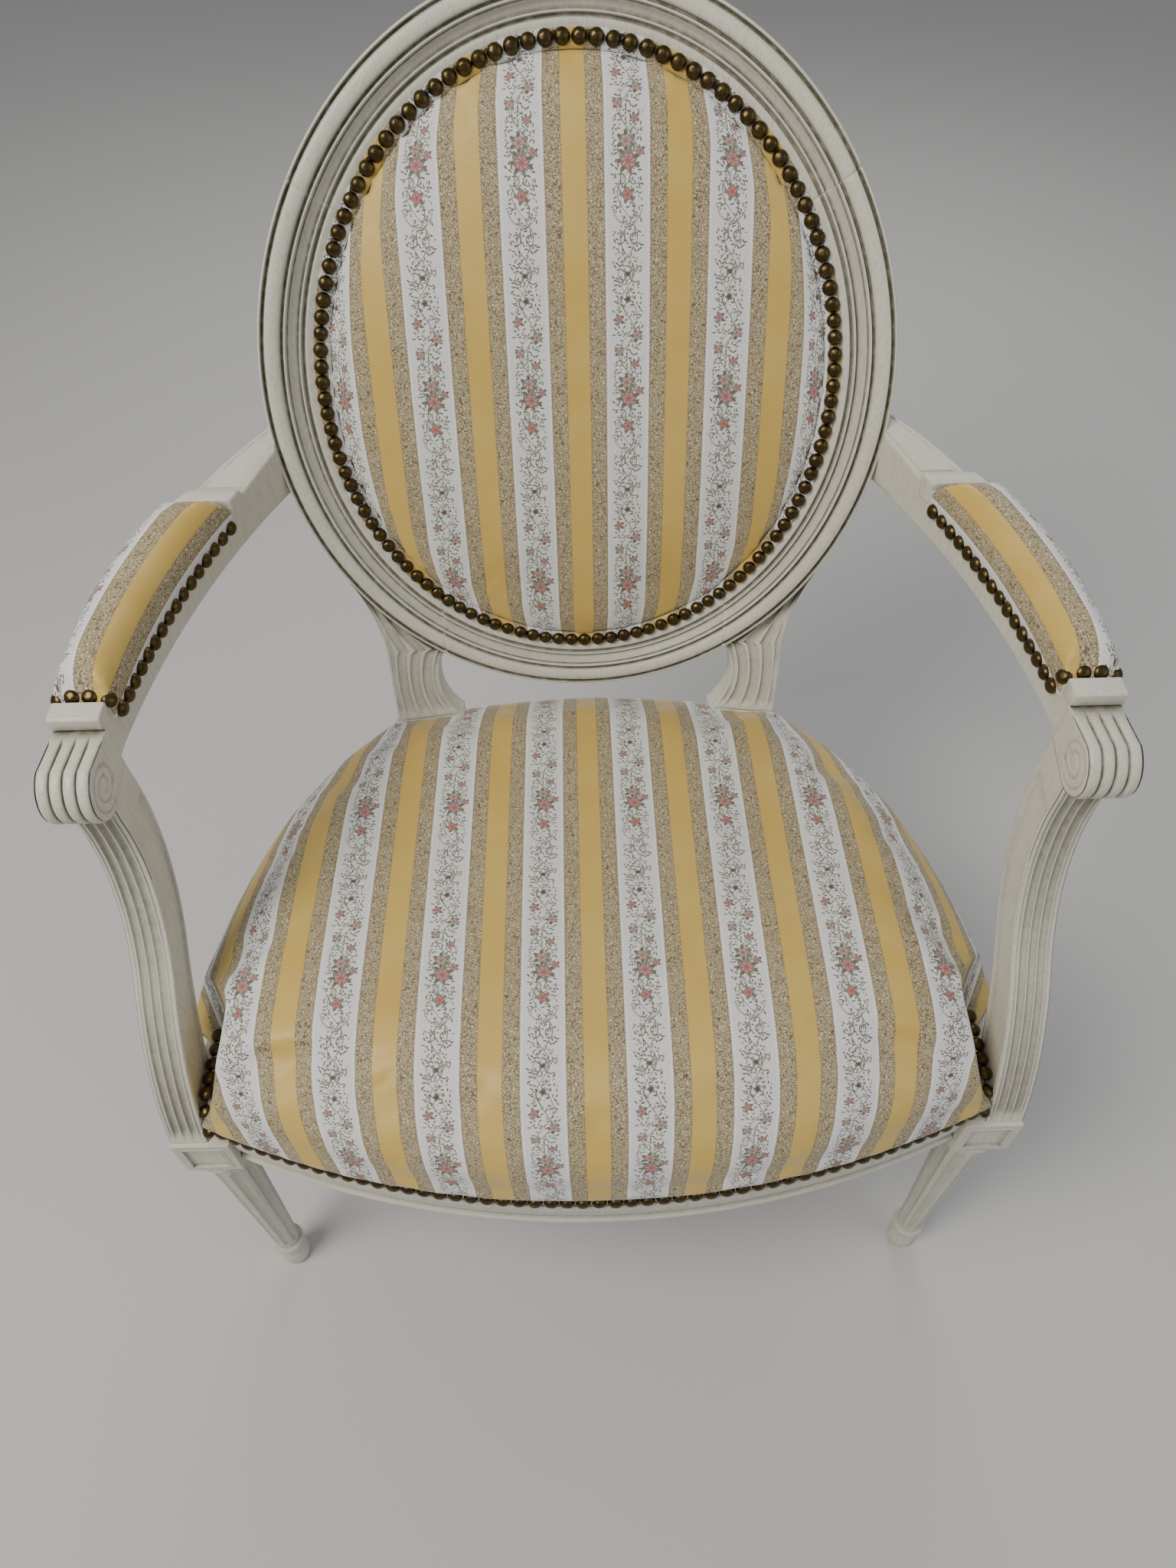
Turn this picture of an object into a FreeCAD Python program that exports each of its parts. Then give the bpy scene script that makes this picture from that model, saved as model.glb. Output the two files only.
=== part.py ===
"""Oval-back fauteuil: an upholstered, painted beech armchair, in millimetres.

The chair faces -Y and stands on z = 0. While it is modelled, y = 0 runs through the
front legs. The right-hand pieces (+X) are modelled and mirrored for the left.
"""
import FreeCAD
import Part
import math
import os

V = FreeCAD.Vector
UP = V(0, 0, 1)
ACROSS = V(1, 0, 0)
ORIGIN = V(0, 0, 0)

# Heights of the seat frame
BLOCK_BOTTOM = 273.0
BLOCK_TOP = 318.0
RAIL_BOTTOM = 280.0
RAIL_TOP = 332.0

# Seat plan at the outer face of the rails
FRONT_FACE_Y = -71.0
FRONT_BOW_RADIUS = 680.0
SIDE_START = (299.0, 21.0)
SIDE_START_ANGLE = 94.0
SIDE_END = (160.0, 350.0)
SIDE_END_ANGLE = 141.0
REAR_FACE_Y = 366.0
REAR_BOW_RADIUS = 620.0
RAIL_THICKNESS = 27.0
CORNER_RADIUS = 6.0

# Mouldings of the rails: top of each band and how far it is sunk behind the outer face
RAIL_BANDS = {
    "lower bead": (287.0, 1.0),
    "cove": (299.0, 3.5),
    "fillet": (303.0, 1.2),
    "face": (316.0, 0.0),
    "cover rebate": (RAIL_TOP, 3.0),
}

# Front legs
LEG_X = 287.0
BLOCK_SIZE = 42.0
PANEL_MARGIN = 7.0
PANEL_DEPTH = 2.0
RING_HEIGHT = 10.0
RING_RADIUS = 19.5
NECK_HEIGHT = 7.0
NECK_RADIUS = 15.5
SHAFT_TOP_RADIUS = 17.0
SHAFT_FOOT_RADIUS = 10.5
COLLAR_TOP = 45.0
COLLAR_HEIGHT = 8.0
COLLAR_RADIUS = 14.0
FOOT_NECK_RADIUS = 10.5
FOOT_RADIUS = 12.5
FOOT_HEIGHT = 22.0
FLUTE_COUNT = 8
FLUTE_RADIUS = 2.6
FLUTE_MARGIN = 12.0
GLIDE_RADIUS = 9.0
GLIDE_HEIGHT = 3.0
GLIDE_PIN_RADIUS = 1.5
GLIDE_PIN_LENGTH = 9.0
FOOT_EDGE = 1.5
NECK_STEP = 2.0
LEG_ROOT = 5.0
FLUTE_STANDOFF = 0.6

# Back legs
BACK_LEG_X = 139.0
BACK_LEG_Y = 331.0
BACK_BLOCK_WIDTH = 42.0
BACK_BLOCK_DEPTH = 44.0
BACK_LEG_RAKE = 11.0

# Back: nail line of the oval, tilted about its lowest point
BACK_TILT = 18.1
BACK_FOOT_Y = 364.8
BACK_FOOT_Z = 443.6
OVAL_HALF_WIDTH = 185.0
OVAL_HALF_HEIGHT = 213.0
BACK_HOLLOW_RADIUS = 650.0
FRAME_DEPTH = 28.0
BACK_REACH = 300.0
FRAME_OUTSIDE_NAILS = 41.0
FRAME_INSIDE_NAILS = 12.0
SEAM_ANGLE = 36.0

# Mouldings of the oval from the inside out: outer edge from the nail line, and rise
OVAL_BANDS = {
    "nailed edge": (7.0, 0.0),
    "cove": (20.0, 3.0),
    "broad band": (38.0, 7.0),
    "outer fillet": (FRAME_OUTSIDE_NAILS, 4.0),
}

# Stiles between the seat and the oval, in the plane of the back
STILE_OUTER_FOOT = (160.0, -140.0)
STILE_OUTER_WAIST = (165.0, -12.0)
STILE_OUTER_FLARE = (170.0, 25.0)
STILE_OUTER_TOP = (186.0, 62.0)
STILE_INNER_FOOT = (119.0, -140.0)
STILE_PLINTH_TOP = -66.0
STILE_PLINTH_INNER = 111.0
STILE_PLINTH_FOOT = -92.0
STILE_SETBACK = 2.0
STILE_INNER_WAIST = (125.0, -36.0)
STILE_INNER_TOP = (116.0, 0.0)
REED_COUNT = 3
REED_GROOVE = 3.4
REED_DEPTH = 2.0

# Arms, in plan and from the side
ARM_FRONT_X = 302.0
ARM_TIP_Y = 66.0
ARM_CAP_Y = 131.0
ARM_BACK = (225.0, 388.0)
ARM_BOW = 20.0
ARM_HALF_WIDTH = 15.5
ARM_MIDDLE_HALF_WIDTH = 20.0
ARM_BACK_HALF_WIDTH = 10.0
ARM_TOP = 618.0
ARM_CAP_TOP = 623.0
ARM_END_TOP = 639.0
ARM_UNDERSIDE = 584.0
ARM_BACK_UNDERSIDE = 589.0
ARM_END_Y = 430.0
SCROLL_RADIUS = 22.0
SCROLL_CENTRE = (90.0, 594.0)
SCROLL_START = 105.0
SCROLL_END = 270.0
CAP_LENGTH = 15.0
REAR_CAP_LENGTH = 13.0
CAP_RISE = 6.0
REAR_CAP_Y = 316.0
ARM_RUN_PAST = 30.0
SCROLL_FLUTES = 3
SCROLL_FLUTE_RADIUS = 2.6

# Arm supports: front and rear edge from the side, as (y, z)
SUPPORT_FRONT = ((-18.0, BLOCK_TOP), (7.0, 382.0), (42.0, 430.0), (77.0, 484.0), (88.0, 560.0))
SUPPORT_REAR = ((123.0, 570.0), (115.0, 489.0), (86.0, 433.0), (50.0, 382.0), (20.0, BLOCK_TOP))
SUPPORT_FOOT_X = (281.0, 308.0)
SUPPORT_HEAD_X = (288.0, 316.0)
SUPPORT_FLUTES = 3
SUPPORT_FLUTE_RADIUS = 2.4

# Joinery
FIT = 0.2
TENON_THICKNESS = 10.0
TENON_LENGTH = 17.0
TENON_SHOULDER = 8.0
TENON_ROOT = 6.0
FOOT_DOWEL = (297.0, -5.0)
HEAD_DOWEL = (105.0, 578.0)
BACK_DOWEL = (219.0, 394.5, 612.0)
BACK_DOWEL_ANGLE = 150.0
SCRAP_VOLUME = 2000.0
DOWEL_RADIUS = 4.0
DOWEL_LENGTH = 30.0
LOWER_DOWEL_ANGLE = 30.0
STILE_LAP = 1.0
SOFT_GAP = 0.3

# Upholstery
COVER_THICKNESS = 1.5
CLOTH_THICKNESS = 1.0
NAIL_RADIUS = 5.3
NAIL_HEIGHT = 4.0
NAIL_PITCH = 11.0
NAIL_GAP = 0.1
NOTCH_NAIL_SHARE = 0.5
NOTCH_NAIL_START = -10.0
NOTCH_NAIL_COUNT = 7
SEAT_NAIL_Z = 325.0
SKIRT_OFFSET = -1.5
SKIRT_LOW = 317.0
# Levels of the seat: height, offset from the rails, corner radius, tilt and lean of the surface
SEAT_CROWN = {
    "edge": (RAIL_TOP, SKIRT_OFFSET, CORNER_RADIUS, 0.0, 0.0),
    "roll": (353.0, 9.0, 22.0, 0.0, 0.0),
    "shoulder": (374.0, 1.0, 34.0, 0.6, 40.0),
    "slope": (392.0, -24.0, 46.0, 1.2, 65.0),
    "crown edge": (404.0, -64.0, 52.0, 1.6, 78.0),
    "crown": (410.0, -112.0, 44.0, 1.8, 90.0),
}
HESSIAN_CROWN = {
    "tacked edge": (RAIL_TOP + SOFT_GAP, -12.0, 14.0, 0.0, 0.0),
    "side": (362.0, -34.0, 26.0, 0.0, 40.0),
    "top": (371.0, -84.0, 30.0, 0.0, 90.0),
}
WEB_WIDTH = 60.0
WEB_THICKNESS = 1.5
WEB_SPACING = 82.0
WEB_COUNT_HALF = 2
WEB_INSET = 6.0
NOTCH_FOOT_X = 280.4
NOTCH_END_Y = 66.0
NOTCH_BEVEL_FOOT = 327.0
NOTCH_BEVEL_TOP = (262.0, 347.0)
NOTCH_TOP = (250.0, 425.0)
CORNER_BLOCK_LEG = 46.0
CORNER_BLOCK_HEIGHT = 38.0
SCREW_FRONT = (222.0, 17.0)
SCREW_SIDE = (250.0, 42.0)
SCREW_Z = 312.0
SCREW_RADIUS = 2.2
SCREW_LENGTH = 34.0
SCREW_HEAD_RADIUS = 4.2
SCREW_HEAD_HEIGHT = 2.6
SEAT_MIDDLE_Y = 160.0
SPRING_SPACING = 100.0
SPRING_MIDDLE_Y = 148.0
SPRING_END_RADIUS = 36.0
SPRING_WAIST_RADIUS = 24.0
SPRING_WIRE_RADIUS = 1.8
SPRING_HALF_HEIGHT = 40.0
SPRING_TURNS = 4
SPRING_STEPS = 6
BACK_DOME = 34.0
BACK_DOME_EDGE = 9.0
BACK_DOME_INSET = 6.0
BACK_RIM_OUTSIDE = 5.5
BACK_WEB_WIDTH = 50.0
BACK_WEB_SPACING = 74.0
REAR_PANEL_INSET = 3.0
REAR_PANEL_THICKNESS = 5.0
REAR_NAIL_INSET = 9.0
OVAL_STEPS = 2000
PAD_NAIL_RISE = 5.8
PAD_NAIL_INSETS = (2.6, 4.8)
PAD_LEVELS = {
    "edge": (SOFT_GAP, 5.0, 8.0),
    "roll": (9.0, 3.5, 6.0),
    "shoulder": (17.0, 7.5, 11.0),
    "crown": (22.0, 13.0, 30.0),
}


def plan_point(x, y):
    return V(x, y, 0)


def side_point(y, z):
    return V(0, y, z)


def face_of(place, start, *steps):
    """A face whose steps are end points of lines, or pairs of mid and end point of arcs."""
    edges = []
    here = start
    for step in steps:
        if isinstance(step[0], tuple):
            middle, there = step
            edges.append(Part.Arc(place(*here), place(*middle), place(*there)).toShape())
        else:
            there = step
            edges.append(Part.LineSegment(place(*here), place(*there)).toShape())
        here = there
    edges.append(Part.LineSegment(place(*here), place(*start)).toShape())
    return Part.Face(Part.Wire(edges))


def box(x_range, y_range, z_range):
    low = V(x_range[0], y_range[0], z_range[0])
    high = V(x_range[1], y_range[1], z_range[1])
    size = high - low
    return Part.makeBox(size.x, size.y, size.z, low)


def mirrored(shape):
    return shape.mirror(ORIGIN, ACROSS)


def fused(shapes):
    first = shapes[0]
    return first.fuse(shapes[1:]).removeSplitter() if len(shapes) > 1 else first


def main_solid(shape):
    return max(shape.Solids, key=lambda solid: solid.Volume)


def both(right):
    return right, mirrored(right)


# Seat plan: a front bow, two tangent arcs a side and a rear bow

class Circle:
    def __init__(self, centre, radius):
        self.centre = centre
        self.radius = radius

    def grown(self, by):
        return Circle(self.centre, self.radius + by)

    def toward(self, point):
        direction = point - self.centre
        direction.normalize()
        return self.centre + direction * self.radius

    def meets(self, other, near):
        """The crossing of two circles that lies nearest a point."""
        between = other.centre - self.centre
        distance = between.Length
        along = (distance ** 2 + self.radius ** 2 - other.radius ** 2) / (2 * distance)
        across = math.sqrt(self.radius ** 2 - along ** 2)
        between.normalize()
        side = V(-between.y, between.x, 0)
        middle = self.centre + between * along
        options = (middle + side * across, middle - side * across)
        return min(options, key=lambda point: (point - near).Length)


def direction_at(angle):
    return V(math.cos(math.radians(angle)), math.sin(math.radians(angle)), 0)


def three_point_circle(points):
    curve = Part.Arc(*[plan_point(*point) for point in points]).toShape().Curve
    return Circle(curve.Center, curve.Radius)


def circle_through(point, heading, other):
    """The circle that leaves a point along a heading and passes through another point."""
    normal = V(-heading.y, heading.x, 0)
    chord = other - point
    offset = chord.Length ** 2 / (2 * normal.dot(chord))
    return Circle(point + normal * offset, abs(offset))


def side_arcs():
    """Two tangent arcs along the side rail, and the point where they join."""
    start = plan_point(*SIDE_START)
    end = plan_point(*SIDE_END)
    leaving = direction_at(SIDE_START_ANGLE)
    arriving = direction_at(SIDE_END_ANGLE)
    chord = end - start
    both_ways = leaving + arriving
    spread = 2 * (1 - leaving.dot(arriving))
    along = chord.dot(both_ways)
    reach = (math.sqrt(along ** 2 + spread * chord.dot(chord)) - along) / spread
    joint = (start + end + (leaving - arriving) * reach) * 0.5
    return circle_through(start, leaving, joint), circle_through(end, arriving, joint), joint


FRONT_ARC = Circle(plan_point(0, FRONT_FACE_Y + FRONT_BOW_RADIUS), FRONT_BOW_RADIUS)
REAR_ARC = Circle(plan_point(0, REAR_FACE_Y - REAR_BOW_RADIUS), REAR_BOW_RADIUS)
SIDE_FRONT_ARC, SIDE_REAR_ARC, SIDE_JOINT = side_arcs()


def arc_edge(circle, start, end):
    middle = circle.toward(circle.centre + (start - circle.centre) + (end - circle.centre))
    return Part.Arc(start, middle, end).toShape()


def flipped(point):
    return V(-point.x, point.y, point.z)


def seat_wire(offset, corner, z=0.0, tilt=0.0):
    """The seat plan grown by an offset, with rounded corners, at a height and tilted."""
    front = FRONT_ARC.grown(offset)
    fore = SIDE_FRONT_ARC.grown(offset)
    aft = SIDE_REAR_ARC.grown(offset)
    rear = REAR_ARC.grown(offset)
    front_corner = front.grown(-corner).meets(fore.grown(-corner), plan_point(*SIDE_START))
    rear_corner = aft.grown(-corner).meets(rear.grown(-corner), plan_point(*SIDE_END))
    a = front.toward(front_corner)
    b = fore.toward(front_corner)
    c = fore.toward(SIDE_JOINT)
    d = aft.toward(rear_corner)
    e = rear.toward(rear_corner)
    right = [
        arc_edge(Circle(front_corner, corner), a, b),
        arc_edge(fore, b, c),
        arc_edge(aft, c, d),
        arc_edge(Circle(rear_corner, corner), d, e),
    ]
    left = [mirrored(edge) for edge in right]
    edges = [arc_edge(front, flipped(a), a)] + right + [arc_edge(rear, e, flipped(e))] + left[::-1]
    wire = Part.Wire(Part.__sortEdges__(edges))
    wire.translate(UP * z)
    wire.rotate(V(0, SEAT_MIDDLE_Y, z), ACROSS, -tilt)
    return wire


def seat_slab(offset, z_low, z_high, corner=CORNER_RADIUS):
    return Part.Face(seat_wire(offset, corner, z_low)).extrude(UP * (z_high - z_low))


def seat_loft(levels, inset=0.0):
    """A dome over the seat plan, with its surface drawn in by an inset."""
    wires = []
    for z, offset, corner, tilt, lean in levels.values():
        inwards = inset * math.cos(math.radians(lean))
        down = inset * math.sin(math.radians(lean))
        wires.append(seat_wire(offset - inwards, corner, z - down, tilt))
    return Part.makeLoft(wires, True, False)


# Seat frame

def rail_ring():
    inner = seat_slab(-RAIL_THICKNESS, RAIL_BOTTOM - 1, RAIL_TOP + 1)
    bands = []
    low = RAIL_BOTTOM
    for top, sunk in RAIL_BANDS.values():
        bands.append(seat_slab(-sunk, low, top))
        low = top
    return fused(bands).cut(inner)


def leg_block(centre, width, depth, grow=0.0):
    x, y = centre
    wide = width / 2 + grow
    deep = depth / 2 + grow
    return box((x - wide, x + wide), (y - deep, y + deep), (BLOCK_BOTTOM - grow, BLOCK_TOP + grow))


FRONT_LEG = (LEG_X, 0.0)
BACK_LEG = (BACK_LEG_X, BACK_LEG_Y)
FRONT_INNER_X = LEG_X - BLOCK_SIZE / 2
BACK_INNER_X = BACK_LEG_X - BACK_BLOCK_WIDTH / 2
BACK_OUTER_X = BACK_LEG_X + BACK_BLOCK_WIDTH / 2
FRONT_TENON_Y = -4.0
SIDE_TENON_X = SIDE_START[0] - RAIL_THICKNESS / 2
SIDE_BACK_TENON_Y = BACK_LEG_Y - 3.0
BACK_TENON_Y = BACK_LEG_Y + 11.0


def tenon(name, grow=0.0):
    """A tenon on the right-hand side, from inside its rail into a block."""
    thin = TENON_THICKNESS / 2
    block_rear = BLOCK_SIZE / 2
    ranges = {
        "front": (
            (FRONT_INNER_X - TENON_ROOT, FRONT_INNER_X + TENON_LENGTH),
            (FRONT_TENON_Y - thin, FRONT_TENON_Y + thin),
        ),
        "side front": (
            (SIDE_TENON_X - thin, SIDE_TENON_X + thin),
            (block_rear - TENON_LENGTH, block_rear + TENON_ROOT),
        ),
        "side back": (
            (BACK_OUTER_X - TENON_LENGTH, BACK_OUTER_X + TENON_ROOT),
            (SIDE_BACK_TENON_Y - thin, SIDE_BACK_TENON_Y + thin),
        ),
        "back": (
            (BACK_INNER_X - TENON_ROOT, BACK_INNER_X + TENON_LENGTH),
            (BACK_TENON_Y - thin, BACK_TENON_Y + thin),
        ),
    }
    x_range, y_range = ranges[name]
    low = RAIL_BOTTOM + TENON_SHOULDER
    high = BLOCK_TOP - TENON_SHOULDER
    grown = [(start - grow, end + grow) for start, end in (x_range, y_range, (low, high))]
    return box(*grown)


def seat_rails():
    """The four rails, cut from one ring by the room above and between the blocks."""
    ring = rail_ring()
    front_room = leg_block(FRONT_LEG, BLOCK_SIZE, BLOCK_SIZE)
    back_room = leg_block(BACK_LEG, BACK_BLOCK_WIDTH, BACK_BLOCK_DEPTH)
    for room in (front_room, back_room):
        tall = room.fuse(room.translated(UP * (RAIL_TOP - BLOCK_TOP)))
        ring = ring.cut(tall).cut(mirrored(tall))
    solids = [solid for solid in ring.Solids if solid.Volume > SCRAP_VOLUME]
    front = min(solids, key=lambda solid: solid.CenterOfMass.y)
    back = max(solids, key=lambda solid: solid.CenterOfMass.y)
    side = max(solids, key=lambda solid: solid.CenterOfMass.x)
    front_tenon = tenon("front")
    back_tenon = tenon("back")
    holes = corner_screws(FIT)
    side = side.cut([support_blank(), stile_room(FIT)])
    side = side.fuse([tenon("side front"), tenon("side back")])
    right, left = both(side.cut(holes))
    front = front.fuse([front_tenon, mirrored(front_tenon)])
    back = back.cut([stile_room(FIT), mirrored(stile_room(FIT))])
    return {
        "front_rail": front.cut(holes + [mirrored(hole) for hole in holes]),
        "back_rail": back.fuse([back_tenon, mirrored(back_tenon)]),
        "side_rail_right": right,
        "side_rail_left": left,
    }


# Legs

def leg_profile(top):
    """Half section of the turned leg, from its foot up to a height and on into the block."""
    shaft_top = top - RING_HEIGHT - NECK_HEIGHT
    collar_low = COLLAR_TOP - COLLAR_HEIGHT
    collar_middle = COLLAR_TOP - COLLAR_HEIGHT / 2
    ring_low = top - RING_HEIGHT
    return face_of(
        lambda r, z: V(r, 0, z),
        (0, 0),
        (FOOT_RADIUS - FOOT_EDGE, 0),
        ((FOOT_RADIUS, FOOT_HEIGHT / 2), (FOOT_NECK_RADIUS, FOOT_HEIGHT)),
        (FOOT_NECK_RADIUS, collar_low),
        ((COLLAR_RADIUS, collar_middle), (SHAFT_FOOT_RADIUS, COLLAR_TOP)),
        (SHAFT_TOP_RADIUS, shaft_top),
        (NECK_RADIUS, shaft_top + NECK_STEP),
        (NECK_RADIUS, ring_low),
        ((RING_RADIUS, ring_low + RING_HEIGHT / 2), (NECK_RADIUS, top)),
        (NECK_RADIUS, top + LEG_ROOT),
        (0, top + LEG_ROOT),
    )


def flute(top):
    """A stopped flute down the shaft, narrower at its foot."""
    low = COLLAR_TOP + FLUTE_MARGIN
    high = top - RING_HEIGHT - NECK_HEIGHT - FLUTE_MARGIN
    slope = math.atan2(SHAFT_TOP_RADIUS - SHAFT_FOOT_RADIUS, high - low)
    shrink = SHAFT_FOOT_RADIUS / SHAFT_TOP_RADIUS
    length = (high - low) / math.cos(slope)
    narrow = FLUTE_RADIUS * shrink
    groove = Part.makeCone(narrow, FLUTE_RADIUS, length, ORIGIN, UP)
    ends = [
        Part.makeSphere(narrow, ORIGIN),
        Part.makeSphere(FLUTE_RADIUS, UP * length),
    ]
    groove = groove.fuse(ends)
    groove.rotate(ORIGIN, V(0, 1, 0), math.degrees(slope))
    groove.translate(V(SHAFT_FOOT_RADIUS + FLUTE_STANDOFF, 0, low))
    return groove


def turned_leg(top):
    leg = leg_profile(top).revolve(ORIGIN, UP, 360)
    cuts = []
    for index in range(FLUTE_COUNT):
        groove = flute(top)
        groove.rotate(ORIGIN, UP, 360 * (index + 0.5) / FLUTE_COUNT)
        cuts.append(groove)
    return leg.cut(cuts)


def glide(place, grow=0.0):
    """The metal glide under a foot: a flat head with a pin above it."""
    x, y = place
    foot = V(x, y, 0)
    head = Part.makeCylinder(GLIDE_RADIUS + grow, GLIDE_HEIGHT + grow, foot)
    return head.fuse(Part.makeCylinder(GLIDE_PIN_RADIUS + grow, GLIDE_PIN_LENGTH + grow, foot))


def sunk_panel(block, face_x, face_y):
    """The shallow panel on one face of a front block."""
    low = BLOCK_BOTTOM + PANEL_MARGIN
    high = BLOCK_TOP - PANEL_MARGIN
    half = BLOCK_SIZE / 2
    inner = half - PANEL_MARGIN
    if face_y:
        return block.cut(box((LEG_X - inner, LEG_X + inner), (-half, PANEL_DEPTH - half), (low, high)))
    outer = LEG_X + half
    return block.cut(box((outer - PANEL_DEPTH, outer), (-inner, inner), (low, high)))


def front_leg():
    block = leg_block(FRONT_LEG, BLOCK_SIZE, BLOCK_SIZE)
    block = sunk_panel(block, False, True)
    block = sunk_panel(block, True, False)
    leg = turned_leg(BLOCK_BOTTOM)
    leg.translate(V(LEG_X, 0, 0))
    leg = block.fuse(leg)
    sockets = [tenon(name, FIT) for name in ("front", "side front")]
    return leg.cut(sockets + [glide(FRONT_LEG, FIT), arm_dowels(FIT)[0]])


# Back frame, modelled upright with its front towards -Y and then tilted

def tilted(shape):
    piece = shape.copy()
    piece.rotate(ORIGIN, ACROSS, -BACK_TILT)
    piece.translate(V(0, BACK_FOOT_Y, BACK_FOOT_Z))
    return piece


def hollow_slab(front, back):
    """The room between two depths behind the hollow front surface of the back."""
    axis = V(0, -BACK_HOLLOW_RADIUS, -BACK_REACH)
    outer = Part.makeCylinder(BACK_HOLLOW_RADIUS + back, 3 * BACK_REACH, axis, UP)
    inner = Part.makeCylinder(BACK_HOLLOW_RADIUS + front, 3 * BACK_REACH, axis, UP)
    room = box((-BACK_REACH, BACK_REACH), (-BACK_REACH, BACK_REACH), (-BACK_REACH, 2 * BACK_REACH))
    return outer.cut(inner).common(room)


def oval_rod(grow):
    """A long rod along Y whose section is the nail line's ellipse grown by an offset."""
    high = OVAL_HALF_HEIGHT + grow
    wide = OVAL_HALF_WIDTH + grow
    ellipse = Part.Ellipse(ORIGIN, high, wide)
    face = Part.Face(Part.Wire(ellipse.toShape()))
    face.rotate(ORIGIN, UP, 90)
    face.rotate(ORIGIN, ACROSS, 90)
    face.translate(V(0, BACK_REACH, OVAL_HALF_HEIGHT))
    return face.extrude(V(0, -2 * BACK_REACH, 0))


def oval_band(inner, outer, front, back):
    return oval_rod(outer).cut(oval_rod(inner)).common(hollow_slab(front, back))


def oval_frame():
    bands = []
    inner = -FRAME_INSIDE_NAILS
    for outer, rise in OVAL_BANDS.values():
        bands.append(oval_band(inner, outer, -rise, FRAME_DEPTH))
        inner = outer
    return fused(bands)


def top_wedge():
    """The sector of the oval that belongs to its top rail."""
    reach = BACK_REACH
    rise = reach * math.tan(math.radians(SEAM_ANGLE))
    corners = [
        V(0, -reach, OVAL_HALF_HEIGHT),
        V(reach, -reach, OVAL_HALF_HEIGHT + rise),
        V(reach, -reach, 3 * reach),
        V(-reach, -reach, 3 * reach),
        V(-reach, -reach, OVAL_HALF_HEIGHT + rise),
    ]
    return Part.Face(Part.makePolygon(corners + corners[:1])).extrude(V(0, 2 * reach, 0))


def bottom_room():
    inner = STILE_INNER_TOP[0]
    return box((-inner, inner), (-BACK_REACH, BACK_REACH), (-BACK_REACH, OVAL_HALF_HEIGHT / 2))


def stile():
    """The upright of a back leg between the seat and the oval, in the plane of the back."""
    outline = face_of(
        lambda x, z: V(x, -BACK_REACH, z),
        STILE_OUTER_FOOT,
        STILE_OUTER_WAIST,
        (STILE_OUTER_FLARE, STILE_OUTER_TOP),
        (STILE_INNER_TOP[0], STILE_OUTER_TOP[1]),
        STILE_INNER_TOP,
        (STILE_INNER_WAIST, (STILE_PLINTH_INNER, STILE_PLINTH_TOP)),
        (STILE_PLINTH_INNER, STILE_PLINTH_FOOT),
        (STILE_INNER_FOOT[0], STILE_PLINTH_FOOT),
        STILE_INNER_FOOT,
    )
    slab = outline.extrude(V(0, 2 * BACK_REACH, 0)).common(hollow_slab(STILE_SETBACK, FRAME_DEPTH))
    return slab


def stile_grooves():
    """Grooves between the reeds on the front of a stile."""
    width = STILE_OUTER_WAIST[0] - STILE_INNER_WAIST[0]
    grooves = []
    for index in range(REED_COUNT):
        x = STILE_INNER_WAIST[0] + width * (index + 1) / (REED_COUNT + 1)
        groove = box(
            (x - REED_GROOVE / 2, x + REED_GROOVE / 2),
            (-BACK_REACH, BACK_REACH),
            (STILE_PLINTH_TOP, STILE_OUTER_TOP[1]),
        )
        grooves.append(groove)
    return fused(grooves).common(hollow_slab(STILE_SETBACK - 1, STILE_SETBACK + REED_DEPTH))


def frame_dowel(x, z, angle, grow=0.0):
    """A dowel across a seam of the oval, in the middle of the frame's depth."""
    depth = FRAME_DEPTH / 2 - x ** 2 / (2 * BACK_HOLLOW_RADIUS)
    turn = math.radians(angle)
    along = V(math.cos(turn), -x / BACK_HOLLOW_RADIUS * math.cos(turn), math.sin(turn))
    along.normalize()
    length = DOWEL_LENGTH + 2 * grow
    start = V(x, depth, z) - along * (length / 2)
    return Part.makeCylinder(DOWEL_RADIUS + grow, length, start, along)


def frame_dowels(grow=0.0):
    """The dowels across the four seams of the oval, before it is tilted."""
    middle = (FRAME_OUTSIDE_NAILS - FRAME_INSIDE_NAILS) / 2
    wide = OVAL_HALF_WIDTH + middle
    high = OVAL_HALF_HEIGHT + middle
    seam = math.radians(SEAM_ANGLE)
    reach = 1 / math.hypot(math.cos(seam) / wide, math.sin(seam) / high)
    seam_x = reach * math.cos(seam)
    seam_z = OVAL_HALF_HEIGHT + reach * math.sin(seam)
    upper = frame_dowel(seam_x, seam_z, SEAM_ANGLE + 90, grow)
    x = STILE_INNER_TOP[0]
    z = OVAL_HALF_HEIGHT - high * math.sqrt(1 - (x / wide) ** 2)
    lower = frame_dowel(x, z, LOWER_DOWEL_ANGLE, grow)
    return [upper, mirrored(upper), lower, mirrored(lower)]


def back_frame():
    """The top rail, the bottom rail and the right-hand side of the oval with its stile."""
    frame = oval_frame()
    holes = frame_dowels(FIT)
    wedge = top_wedge()
    room = bottom_room()
    top = frame.common(wedge)
    bottom = frame.common(room)
    side = frame.cut([wedge, room])
    side = max(side.Solids, key=lambda solid: solid.CenterOfMass.x)
    upright = stile().cut([oval_rod(FRAME_OUTSIDE_NAILS - STILE_LAP), stile_grooves()])
    side = side.fuse(main_solid(upright))
    top, bottom, side = [tilted(piece.cut(holes)) for piece in (top, bottom, side)]
    return top, bottom, side.cut(arm_dowels(FIT)[2])


def back_foot():
    """Where the axis of the raked back leg meets the floor."""
    return BACK_LEG_X, BACK_LEG_Y + BLOCK_BOTTOM * math.tan(math.radians(BACK_LEG_RAKE))


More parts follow.
